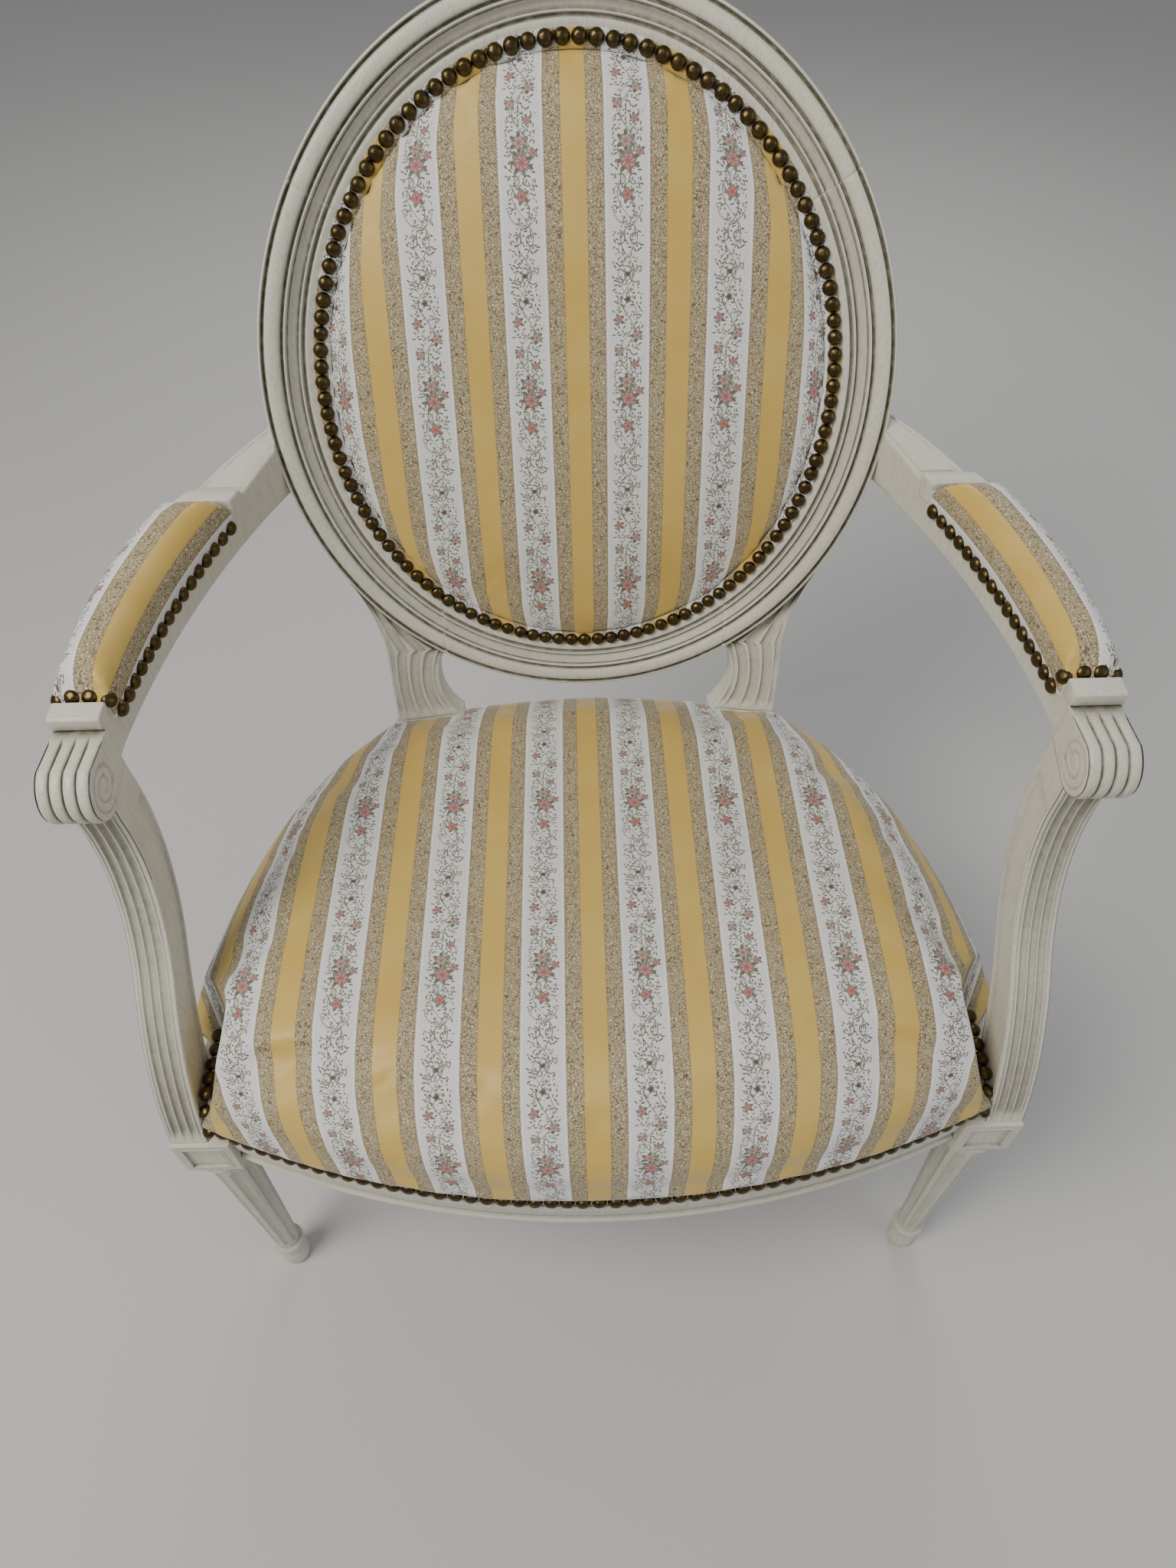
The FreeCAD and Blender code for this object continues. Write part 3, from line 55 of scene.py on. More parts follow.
SIDES = {"right": 1, "left": -1}


def placed(points):
    """Millimetres from the front legs to metres in the frame."""
    grid = np.array(points, float).reshape(-1, 3) * MM
    grid[:, 1] += LEGS_Y
    return grid


def hex_colour(code):
    """An sRGB hex value as linear RGBA."""
    parts = [int(code[i:i + 2], 16) / 255 for i in (1, 3, 5)]
    linear = [c / 12.92 if c <= 0.04045 else ((c + 0.055) / 1.055) ** 2.4 for c in parts]
    return (*linear, 1.0)


def smoothstep(value):
    t = np.clip(value, 0.0, 1.0)
    return t * t * (3 - 2 * t)


# Camera, lights and floor

FOCAL_PIXELS = 1452.68
PHOTO_HEIGHT = 2048
SENSOR = 36.0
LOOK_DOWN = 0.8886
ROLL = 0.0193
HEADING = 0.0071
CAMERA_PLACE = (-4.18, -328.98, 1100.65)
WORLD_STRENGTH = 0.33
FLOOR_REACH = 6.0


def make_camera():
    forward = Vector((math.sin(HEADING) * math.cos(LOOK_DOWN),
                      math.cos(HEADING) * math.cos(LOOK_DOWN),
                      -math.sin(LOOK_DOWN)))
    level = Vector((math.cos(HEADING), -math.sin(HEADING), 0))
    below = forward.cross(level)
    right = level * math.cos(ROLL) + below * math.sin(ROLL)
    down = below * math.cos(ROLL) - level * math.sin(ROLL)
    data = bpy.data.cameras.new("camera")
    data.sensor_width = SENSOR
    data.lens = FOCAL_PIXELS / PHOTO_HEIGHT * SENSOR
    camera = bpy.data.objects.new("camera", data)
    turn = Matrix((right, -down, -forward)).transposed()
    camera.matrix_world = Matrix.Translation(placed([CAMERA_PLACE])[0]) @ turn.to_4x4()
    bpy.context.scene.collection.objects.link(camera)
    bpy.context.scene.camera = camera


def make_light(name, place, aim, size, watts, tint):
    data = bpy.data.lights.new(name, "AREA")
    data.shape = "DISK"
    data.size = size
    data.energy = watts
    data.color = hex_colour(tint)[:3]
    light = bpy.data.objects.new(name, data)
    light.location = place
    light.rotation_euler = (Vector(aim) - Vector(place)).to_track_quat("-Z", "Y").to_euler()
    bpy.context.scene.collection.objects.link(light)


def make_studio():
    make_light("soft_key", (-1.1, -0.9, 2.3), (0, 0, 0.45), 1.1, 42, "#fffaf2")
    make_light("soft_fill", (1.7, -1.0, 1.5), (0, 0, 0.4), 1.8, 8, "#f3f6ff")
    make_light("soft_back", (0.3, 1.8, 1.9), (0, 0, 0.5), 1.4, 14, "#ffffff")
    world = bpy.data.worlds.new("studio")
    world.use_nodes = True
    sky = world.node_tree.nodes["Background"]
    sky.inputs["Color"].default_value = hex_colour("#e9ebee")
    sky.inputs["Strength"].default_value = WORLD_STRENGTH
    bpy.context.scene.world = world
    floor = bpy.data.meshes.new("floor")
    corners = [(FLOOR_REACH * x, FLOOR_REACH * y, 0)
               for x, y in ((-1, -1), (1, -1), (1, 1), (-1, 1))]
    floor.from_pydata(corners, [], [(0, 1, 2, 3)])
    ground = bpy.data.objects.new("floor", floor)
    bpy.context.scene.collection.objects.link(ground)
    ground.data.materials.append(pale_floor())


# Materials

def node(tree, kind, inputs=(), **settings):
    """Adds a node with its settings, and links or sets its inputs by name or place.

    A kind without "Node" is a shader node, and a text such as "#cfccbd" is an sRGB colour.
    """
    made = tree.nodes.new(kind if "Node" in kind else f"ShaderNode{kind}")
    for key, value in settings.items():
        setattr(made, key, value)
    pairs = inputs.items() if isinstance(inputs, dict) else enumerate(inputs)
    for key, value in pairs:
        if isinstance(value, str) and value.startswith("#"):
            value = hex_colour(value)
        if isinstance(value, bpy.types.Node):
            value = value.outputs[0]
        if isinstance(value, bpy.types.NodeSocket):
            tree.links.new(value, made.inputs[key])
        elif value is not None:
            made.inputs[key].default_value = value
    return made


def new_material(name):
    material = bpy.data.materials.new(name)
    material.use_nodes = True
    tree = material.node_tree
    tree.nodes.clear()
    return material, tree


def finish_material(tree, **inputs):
    """The shader and the output, with inputs named as on the shader."""
    named = {key.replace("_", " "): value for key, value in inputs.items()}
    shader = node(tree, "BsdfPrincipled", named)
    node(tree, "OutputMaterial", [shader])


def pale_floor():
    """Matt studio paper: a plain ground that throws back soft light."""
    material, tree = new_material("studio_paper")
    place = node(tree, "TexCoord").outputs["Object"]
    cloud = node(tree, "TexNoise", {"Vector": place, "Scale": 1.5, "Detail": 3.0})
    colour = node(tree, "Mix", {0: cloud.outputs[0], 6: "#c9c8c6", 7: "#d0cfcd"}, data_type="RGBA")
    finish_material(tree, Base_Color=colour.outputs[2], Roughness=0.9)
    return material


def painted_wood():
    """Eggshell paint on beech with a grey-olive glaze that streaks with the brush on the flats
    and is rubbed back to a paler coat on the edges. The grooves are darkened to grey-olive
    by occlusion: partly glaze held in them, partly painted shade."""
    material, tree = new_material("glazed_eggshell_paint_with_painted_shade")
    place = node(tree, "TexCoord").outputs["Object"]
    cloud = node(tree, "TexNoise", {"Vector": place, "Scale": 14.0, "Detail": 4.0,
                                    "Roughness": 0.6})
    base = node(tree, "Mix", {0: cloud.outputs[0], 6: "#cfccbd", 7: "#dedbce"}, data_type="RGBA")
    # Brush streaks about 1 mm wide and 20 mm long
    stretched = node(tree, "Mapping", {"Vector": place, "Scale": (900.0, 900.0, 50.0)})
    streak = node(tree, "TexNoise", {"Vector": stretched, "Scale": 1.0, "Detail": 3.0})
    streaks = node(tree, "MapRange", {"Value": streak.outputs[0], "From Min": 0.48,
                                      "From Max": 0.78, "To Max": 0.6})
    streaked = node(tree, "Mix", {0: streaks, 6: base.outputs[2], 7: "#a9a691"}, data_type="RGBA")
    # Darker grey-olive within 9 mm of a recess, set by occlusion: partly glaze left there, partly
    # painted shade
    hollow = node(tree, "AmbientOcclusion", {"Distance": 0.009}, samples=6, only_local=True)
    patch = node(tree, "TexNoise", {"Vector": place, "Scale": 160.0, "Detail": 3.0})
    uneven = node(tree, "MapRange", {"Value": patch.outputs[0], "From Min": 0.3,
                                     "From Max": 0.7, "To Min": 0.75, "To Max": 1.15})
    depth = node(tree, "MapRange", {"Value": hollow.outputs["AO"], "From Min": 0.95,
                                    "From Max": 0.5})
    glaze_and_painted_shade = node(tree, "Math", [depth, uneven], operation="MULTIPLY", use_clamp=True)
    # Painted shade in the recesses, mixed with the glaze that sits there
    with_glaze_and_painted_shade = node(tree, "Mix", {0: glaze_and_painted_shade, 6: streaked.outputs[2], 7: "#696653"}, data_type="RGBA")
    # Worn arrises about 1 mm wide
    rounded = node(tree, "Bevel", {"Radius": 0.0011}, samples=4)
    shape = node(tree, "NewGeometry")
    facing = node(tree, "VectorMath", [rounded, shape.outputs["Normal"]], operation="DOT_PRODUCT")
    arris = node(tree, "MapRange", {"Value": facing.outputs["Value"], "From Min": 0.985,
                                    "From Max": 0.9})
    outside = node(tree, "Math", [1.0, glaze_and_painted_shade], operation="SUBTRACT", use_clamp=True)
    rubbed = node(tree, "Math", [arris, outside], operation="MULTIPLY")
    worn = node(tree, "Math", [rubbed, uneven], operation="MULTIPLY", use_clamp=True)
    colour = node(tree, "Mix", {0: worn, 6: with_glaze_and_painted_shade.outputs[2], 7: "#f1eee4"}, data_type="RGBA")
    sheen = node(tree, "MapRange", {"Value": patch.outputs[0], "To Min": 0.36, "To Max": 0.56})
    bump = node(tree, "Bump", {"Strength": 0.18, "Distance": 0.0006,
                               "Height": streak.outputs[0], "Normal": rounded})
    finish_material(tree, Base_Color=colour.outputs[2], Roughness=sheen, IOR=1.48, Normal=bump)
    return material


def bare_beech():
    """Planed beech, unpainted inside the frame: pale pink-brown with short dark flecks."""
    material, tree = new_material("planed_beech")
    place = node(tree, "TexCoord").outputs["Object"]
    grain = node(tree, "Mapping", {"Vector": place, "Scale": (60.0, 350.0, 350.0)})
    wave = node(tree, "TexNoise", {"Vector": grain, "Scale": 1.0, "Detail": 5.0})
    colour = node(tree, "Mix", {0: wave.outputs[0], 6: "#c79a6c", 7: "#b07f52"}, data_type="RGBA")
    bump = node(tree, "Bump", {"Strength": 0.2, "Distance": 0.0003, "Height": wave.outputs[0]})
    finish_material(tree, Base_Color=colour.outputs[2], Roughness=0.62, Normal=bump)
    return material


def antique_nail():
    """Domed iron nails plated with antiqued bronze: dark in the hollows of a hammered skin,
    with small warm glints on the crowns."""
    material, tree = new_material("antiqued_bronze_plate")
    place = node(tree, "TexCoord").outputs["Object"]
    dents = node(tree, "TexVoronoi", {"Vector": place, "Scale": 420.0}, feature="SMOOTH_F1")
    stain = node(tree, "TexNoise", {"Vector": place, "Scale": 210.0, "Detail": 3.0})
    colour = node(tree, "Mix", {0: stain.outputs[0], 6: "#221c12", 7: "#75633f"}, data_type="RGBA")
    rough = node(tree, "MapRange", {"Value": stain.outputs[0], "To Min": 0.48, "To Max": 0.24})
    bump = node(tree, "Bump", {"Strength": 0.35, "Distance": 0.0008,
                               "Height": dents.outputs["Distance"]})
    finish_material(tree, Base_Color=colour.outputs[2], Metallic=1.0, Roughness=rough, Normal=bump)
    return material


def drawn_steel(name, dark, light, roughness):
    """Drawn or turned steel with a thin oil film: grey with faint lines."""
    material, tree = new_material(name)
    place = node(tree, "TexCoord").outputs["Object"]
    lines = node(tree, "TexNoise", {"Vector": place, "Scale": 600.0, "Detail": 2.0})
    colour = node(tree, "Mix", {0: lines.outputs[0], 6: dark, 7: light}, data_type="RGBA")
    bump = node(tree, "Bump", {"Strength": 0.15, "Distance": 0.0002, "Height": lines.outputs[0]})
    finish_material(tree, Base_Color=colour.outputs[2], Metallic=1.0, Roughness=roughness,
                    Normal=bump)
    return material


def plain_weave(name, thread_mm, warp, weft, gap_painted_shade, roughness):
    """A plain weave of thick threads, over and under: rough, with painted shade in the gaps
    between them.
    """
    material, tree = new_material(name)
    place = node(tree, "TexCoord").outputs["Object"]
    scale = 1 / (2 * thread_mm * MM)
    along = node(tree, "TexWave", {"Vector": place, "Scale": scale / 3.2,
                                   "Distortion": 0.6}, bands_direction="X")
    across = node(tree, "TexWave", {"Vector": place, "Scale": scale / 3.2,
                                    "Distortion": 0.6}, bands_direction="Y")
    height = node(tree, "Math", [along.outputs["Fac"], across.outputs["Fac"]],
                  operation="MULTIPLY")
    threads = node(tree, "Mix", {0: along.outputs["Fac"], 6: weft, 7: warp}, data_type="RGBA")
    # Painted shade: the dark gap colour where the threads dip between their crossings
    colour = node(tree, "Mix", {0: height, 6: gap_painted_shade, 7: threads.outputs[2]}, data_type="RGBA")
    bump = node(tree, "Bump", {"Strength": 0.6, "Distance": thread_mm * MM, "Height": height})
    finish_material(tree, Base_Color=colour.outputs[2], Roughness=roughness, Normal=bump)
    return material


# Woven cover: yellow satin stripe, tan figured bands and a white band with a floral repeat

REPEAT_WIDTH = 70.4
REPEAT_LENGTH = 150.0
SATIN_HALF = 8.3
TAN_END = 19.6
PICOT_PITCH = 2.4
PICOT_DEPTH = 0.5
EDGE_LINE = 0.9
WEFT_PITCH = 1.1
WANDER = 0.9

# Flowers of one repeat: middle (across, along), radius, petals, kind
FLOWERS = (
    ((-6.2, 40.0), 2.7, 5.0, "rose"),
    ((6.4, 50.5), 3.0, 5.0, "dusty"),
    ((-6.0, 61.0), 2.6, 4.0, "dusty"),
    ((5.2, 69.5), 2.3, 5.0, "rose"),
    ((-0.8, 82.0), 4.3, 6.0, "dusty"),
    ((0.6, 93.5), 5.4, 7.0, "rose"),
    ((8.6, 88.0), 2.4, 5.0, "rose"),
    ((0.0, 113.0), 3.6, 5.0, "bright"),
    ((0.0, 27.0), 1.9, 5.0, "berry"),
    ((0.0, 11.0), 1.6, 4.0, "berry"),
)
PETAL_COLOURS = {
    "rose": ("#cb9d96", "#8f5a58"),
    "dusty": ("#cfb3aa", "#86625c"),
    "bright": ("#ca928a", "#94524e"),
    "berry": ("#7d625c", "#4d3f3d"),
}
SCROLLS = ((5.4, 12.0, 4.0), (5.0, 139.0, 3.2), (4.4, 104.0, 3.0))


def flower_group():
    """One flower of the repeat: a lobed bloom, its shading, and spiky leaves round it."""
    tree = bpy.data.node_groups.new("woven_flower", "ShaderNodeTree")
    face = tree.interface
    face.new_socket("Place", in_out="INPUT", socket_type="NodeSocketVector")
    face.new_socket("Middle", in_out="INPUT", socket_type="NodeSocketVector")
    face.new_socket("Radius", in_out="INPUT", socket_type="NodeSocketFloat")
    face.new_socket("Petals", in_out="INPUT", socket_type="NodeSocketFloat")
    for name in ("Bloom", "Shade", "Leaves"):
        face.new_socket(name, in_out="OUTPUT", socket_type="NodeSocketFloat")
    given = node(tree, "NodeGroupInput")
    away = node(tree, "VectorMath", [given.outputs["Place"], given.outputs["Middle"]],
                operation="SUBTRACT")
    reach = node(tree, "VectorMath", [away], operation="LENGTH").outputs["Value"]
    parts = node(tree, "SeparateXYZ", [away])
    angle = node(tree, "Math", [parts.outputs[1], parts.outputs[0]], operation="ARCTAN2")
    far = node(tree, "Math", [reach, given.outputs["Radius"]], operation="DIVIDE")
    lobes = node(tree, "Math", [angle, given.outputs["Petals"]], operation="MULTIPLY")
    wave = node(tree, "Math", [lobes], operation="COSINE")
    rim = node(tree, "Math", [wave, 0.16, 0.86], operation="MULTIPLY_ADD")
    bloom = node(tree, "Math", [far, rim], operation="LESS_THAN")
    # Rings of petals turned a little with each ring, as a rose folds
    swirl = node(tree, "Math", [far, 9.0, lobes], operation="MULTIPLY_ADD")
    fold = node(tree, "Math", [swirl], operation="SINE")
    deep = node(tree, "Math", [fold, 0.38, 0.42], operation="MULTIPLY_ADD")
    heart = node(tree, "MapRange", {"Value": far, "From Min": 0.45, "From Max": 0.0,
                                    "To Max": 0.7})
    shade = node(tree, "Math", [deep, heart], operation="ADD", use_clamp=True)
    # Leaves are spikes between the petals
    spikes = node(tree, "Math", [wave, -1.05, 1.0], operation="MULTIPLY_ADD")
    tip = node(tree, "Math", [spikes, 0.42, 0.72], operation="MULTIPLY_ADD")
    leaf = node(tree, "Math", [far, tip], operation="LESS_THAN")
    below = node(tree, "Math", [1.0, bloom], operation="SUBTRACT")
    leaves = node(tree, "Math", [leaf, below], operation="MULTIPLY")
    node(tree, "NodeGroupOutput", [bloom, shade, leaves])
    return tree


def woven_cover():
    """Cotton and silk lampas: a smooth satin stripe that shines, ribbed figured bands with
    little sheen, and flowers in matt weft on a cool white ground."""
    material, tree = new_material("striped_floral_lampas")
    cloth = node(tree, "UVMap", uv_map="cloth").outputs[0]
    flat = node(tree, "VectorMath", [cloth, (1000.0, 1000.0, 0.0)], operation="MULTIPLY")
    parts = node(tree, "SeparateXYZ", [flat])
    across, along = parts.outputs[0], parts.outputs[1]
    # Distance from the middle of the nearest satin stripe, and place across the white band
    stripe = node(tree, "Math", [across, REPEAT_WIDTH / 2], operation="PINGPONG")
    cell = node(tree, "Math", [across, REPEAT_WIDTH], operation="FLOORED_MODULO")
    inside = node(tree, "Math", [cell, REPEAT_WIDTH / 2], operation="SUBTRACT")
    down = node(tree, "Math", [along, -1.0], operation="MULTIPLY")
    run = node(tree, "Math", [down, REPEAT_LENGTH], operation="FLOORED_MODULO")
    spot = node(tree, "CombineXYZ", [inside, run])
    mirror = node(tree, "Math", [inside], operation="ABSOLUTE")
    mirrored_spot = node(tree, "CombineXYZ", [mirror, run])

    # Small unevenness of a hand-finished weave, so no line is quite sharp or straight
    wander = node(tree, "TexNoise", {"Vector": flat, "Scale": 0.35, "Detail": 2.0})
    jitter = node(tree, "Math", [wander.outputs[0], WANDER, -WANDER / 2], operation="MULTIPLY_ADD")
    near = node(tree, "Math", [stripe, jitter], operation="ADD")
    teeth = node(tree, "Math", [along, PICOT_PITCH / 2], operation="PINGPONG")
    picot = node(tree, "Math", [teeth, PICOT_DEPTH, -PICOT_DEPTH / 2], operation="MULTIPLY_ADD")
    toothed = node(tree, "Math", [near, picot], operation="ADD")

    # Satin stripe with fine weft lines and soft clouds in its colour
    weft = node(tree, "Math", [along, WEFT_PITCH / 2], operation="PINGPONG")
    weft_line = node(tree, "Math", [weft, 2 / WEFT_PITCH], operation="MULTIPLY")
    cloud = node(tree, "TexNoise", {"Vector": flat, "Scale": 0.02, "Detail": 3.0})
    gold = node(tree, "Mix", {0: cloud.outputs[0], 6: "#cba648", 7: "#e0c476"}, data_type="RGBA")
    faint = node(tree, "Math", [weft_line, 0.22], operation="MULTIPLY")
    satin = node(tree, "Mix", {0: faint, 6: gold.outputs[2], 7: "#ab8a3e"}, data_type="RGBA")

    # Tan bands: small scrolled figures in gold, olive, brown and rust
    speck = node(tree, "TexVoronoi", {"Vector": flat, "Scale": 0.62, "Randomness": 0.85})
    web = node(tree, "TexVoronoi", {"Vector": flat, "Scale": 0.5}, feature="DISTANCE_TO_EDGE")
    tone = node(tree, "SeparateColor", [speck.outputs["Color"]])
    figures = node(tree, "ValToRGB", [tone.outputs[0]])
    ramp = figures.color_ramp
    ramp.interpolation = "CONSTANT"
    ramp.elements[0].color = hex_colour("#c2aa78")
    ramp.elements[1].position = 0.3
    ramp.elements[1].color = hex_colour("#d8c9a4")
    for position, code in ((0.52, "#8f8458"), (0.7, "#8a6a4c"), (0.84, "#e0d8bf")):
        ramp.elements.new(position).color = hex_colour(code)
    ground = node(tree, "Mix", {0: cloud.outputs[0], 6: "#ad9f7d", 7: "#bdb090"}, data_type="RGBA")
    dot = node(tree, "Math", [speck.outputs["Distance"], 0.42], operation="LESS_THAN")
    figured = node(tree, "Mix", {0: dot, 6: ground.outputs[2], 7: figures.outputs[0]},
                   data_type="RGBA")
    thread = node(tree, "Math", [web.outputs["Distance"], 0.06], operation="LESS_THAN")
    outlined = node(tree, "Math", [thread, 0.8], operation="MULTIPLY")
    tan = node(tree, "Mix", {0: outlined, 6: figured.outputs[2], 7: "#564a38"}, data_type="RGBA")

    # White band: ground, sinuous stems, scattered leaves, scrolls and flowers
    white = node(tree, "Mix", {0: cloud.outputs[0], 6: "#d8d8d7", 7: "#e8e7e4"}, data_type="RGBA")
    masks = []
    for swing, period, thick in ((4.6, 37.5, 0.34), (-6.6, 50.0, 0.28)):
        phase = node(tree, "Math", [run, 2 * math.pi / period], operation="MULTIPLY")
        sway = node(tree, "Math", [phase], operation="SINE")
        centre = node(tree, "Math", [sway, swing], operation="MULTIPLY")
        stem = node(tree, "Math", [inside, centre, thick], operation="COMPARE")
        masks.append(stem)
    # Leaves, about 3 mm long, turned every way, in a belt along the stems
    leafy = node(tree, "TexVoronoi", {"Vector": spot, "Scale": 0.36})
    local = node(tree, "VectorMath", [spot, leafy.outputs["Position"]], operation="SUBTRACT")
    scaled = node(tree, "VectorMath", [leafy.outputs["Position"], (1.0, 1.0, 0.0)],
                  operation="MULTIPLY")
    pick = node(tree, "SeparateColor", [leafy.outputs["Color"]])
    spin = node(tree, "Math", [pick.outputs[0], 2 * math.pi], operation="MULTIPLY")
    turned = node(tree, "VectorRotate", {"Vector": local, "Angle": spin}, rotation_type="Z_AXIS")
    slim = node(tree, "VectorMath", [turned, (0.55, 1.5, 0.0)], operation="MULTIPLY")
    blade = node(tree, "VectorMath", [slim], operation="LENGTH").outputs["Value"]
    leaf = node(tree, "Math", [blade, 0.82], operation="LESS_THAN")
    place_x = node(tree, "SeparateXYZ", [scaled])
    side = node(tree, "Math", [place_x.outputs[0]], operation="ABSOLUTE")
    belt = node(tree, "Math", [side, 10.2], operation="LESS_THAN")
    grows = node(tree, "Math", [pick.outputs[1], 0.7], operation="LESS_THAN")
    leaf = node(tree, "Math", [leaf, belt], operation="MULTIPLY")
    leaf = node(tree, "Math", [leaf, grows], operation="MULTIPLY")
    masks.append(leaf)
    for middle, low, radius in SCROLLS:
        off = node(tree, "VectorMath", [mirrored_spot, (middle, low, 0.0)], operation="SUBTRACT")
        reach = node(tree, "VectorMath", [off], operation="LENGTH").outputs["Value"]
        ring = node(tree, "Math", [reach, radius, 0.42], operation="COMPARE")
        open_x = node(tree, "SeparateXYZ", [off])
        closed = node(tree, "Math", [open_x.outputs[0], radius * 0.6], operation="LESS_THAN")
        masks.append(node(tree, "Math", [ring, closed], operation="MULTIPLY"))
    # Dotted swag below the last flower
    hang = node(tree, "VectorMath", [spot, (0.0, 121.0, 0.0)], operation="SUBTRACT")
    drop = node(tree, "VectorMath", [hang], operation="LENGTH").outputs["Value"]
    swag = node(tree, "Math", [drop, 9.5, 0.65], operation="COMPARE")
    hang_parts = node(tree, "SeparateXYZ", [hang])
    bearing = node(tree, "Math", [hang_parts.outputs[1], hang_parts.outputs[0]],
                   operation="ARCTAN2")
    beads = node(tree, "Math", [bearing, 0.085], operation="PINGPONG")
    bead = node(tree, "Math", [beads, 0.045], operation="LESS_THAN")
    low_half = node(tree, "Math", [hang_parts.outputs[1], 0.0], operation="GREATER_THAN")
    swag = node(tree, "Math", [swag, bead], operation="MULTIPLY")
    masks.append(node(tree, "Math", [swag, low_half], operation="MULTIPLY"))
    green = masks[0]
    for mask in masks[1:]:
        green = node(tree, "Math", [green, mask], operation="MAXIMUM")

    bloom_tree = flower_group()
    blooms = []
    for middle, radius, petals, kind in FLOWERS:
        bloom = node(tree, "Group", node_tree=bloom_tree)
        tree.links.new(spot.outputs[0], bloom.inputs["Place"])
        bloom.inputs["Middle"].default_value = (*middle, 0.0)
        bloom.inputs["Radius"].default_value = radius
        bloom.inputs["Petals"].default_value = petals
        blooms.append((bloom, kind))
        green = node(tree, "Math", [green, bloom.outputs["Leaves"]], operation="MAXIMUM")
    olive = node(tree, "Mix", {0: pick.outputs[2], 6: "#62655a", 7: "#8e8c7c"}, data_type="RGBA")
    floral = node(tree, "Mix", {0: green, 6: white.outputs[2], 7: olive.outputs[2]},
                  data_type="RGBA")
    raised = green
    for bloom, kind in blooms:
        light, dark = (hex_colour(code) for code in PETAL_COLOURS[kind])
        petal = node(tree, "Mix", {0: bloom.outputs["Shade"], 6: light, 7: dark}, data_type="RGBA")
        floral = node(tree, "Mix", {0: bloom.outputs["Bloom"], 6: floral.outputs[2],
                                    7: petal.outputs[2]}, data_type="RGBA")
        raised = node(tree, "Math", [raised, bloom.outputs["Bloom"]], operation="MAXIMUM")

    # The three bands side by side, with a brown and a bright line where white meets tan
    in_tan = node(tree, "Math", [toothed, SATIN_HALF], operation="GREATER_THAN")
    in_white = node(tree, "Math", [toothed, TAN_END], operation="GREATER_THAN")
    lines = node(tree, "Math", [toothed, TAN_END, EDGE_LINE / 2], operation="COMPARE")
    bright = node(tree, "Math", [near, TAN_END + 1.6, EDGE_LINE / 2], operation="COMPARE")
    inner_line = node(tree, "Math", [toothed, SATIN_HALF + 0.3, EDGE_LINE / 2],
                      operation="COMPARE")
    pair = node(tree, "Mix", {0: in_tan, 6: satin.outputs[2], 7: tan.outputs[2]}, data_type="RGBA")
    cloth_colour = node(tree, "Mix", {0: in_white, 6: pair.outputs[2],
                                      7: floral.outputs[2]}, data_type="RGBA")
    edged = cloth_colour
    for line, strength, code in ((lines, 0.75, "#85714e"), (inner_line, 0.4, "#94794a"),
                                 (bright, 1.0, "#efeee9")):
        share = node(tree, "Math", [line, strength], operation="MULTIPLY")
        edged = node(tree, "Mix", {0: share, 6: edged.outputs[2], 7: code}, data_type="RGBA")

    # Threads: ribs of about 0.6 mm, drawn near twice as coarse so that they show
    rib = node(tree, "Math", [along, 0.55], operation="PINGPONG")
    warp = node(tree, "Math", [across, 0.5], operation="PINGPONG")
    threads = node(tree, "Math", [rib, warp], operation="ADD")
    fleck = node(tree, "TexNoise", {"Vector": flat, "Scale": 1.6, "Detail": 2.0})
    rough_weave = node(tree, "Math", [threads, fleck.outputs[0]], operation="MULTIPLY")
    lifted = node(tree, "Math", [raised, 0.6, rough_weave], operation="MULTIPLY_ADD")
    bump = node(tree, "Bump", {"Strength": 0.35, "Distance": 0.0005, "Height": lifted})
    dull = node(tree, "MapRange", {"Value": in_tan, "To Min": 0.36, "To Max": 0.72})
    finish_material(tree, Base_Color=edged.outputs[2], Roughness=dull, Sheen_Weight=0.25,
                    Sheen_Roughness=0.4, IOR=1.46, Normal=bump)
    return material


# Meshes

def new_piece(name, points, faces, sharp_angle=38.0):
    """A mesh piece from points in millimetres, smooth but for edges sharper than an angle."""
    mesh = bpy.data.meshes.new(name)
    mesh.from_pydata(placed(points).tolist(), [], faces)
    mesh.validate()
    piece = bpy.data.objects.new(name, mesh)
    bpy.context.scene.collection.objects.link(piece)
    shaded(piece, sharp_angle)
    return piece


def shaded(piece, sharp_angle=38.0):
    mesh = piece.data
    work = bmesh.new()
    work.from_mesh(mesh)
    bmesh.ops.recalc_face_normals(work, faces=work.faces)
    work.to_mesh(mesh)
    work.free()
    mesh.polygons.foreach_set("use_smooth", [True] * len(mesh.polygons))
    mesh.set_sharp_from_angle(angle=math.radians(sharp_angle))
    mesh.update()


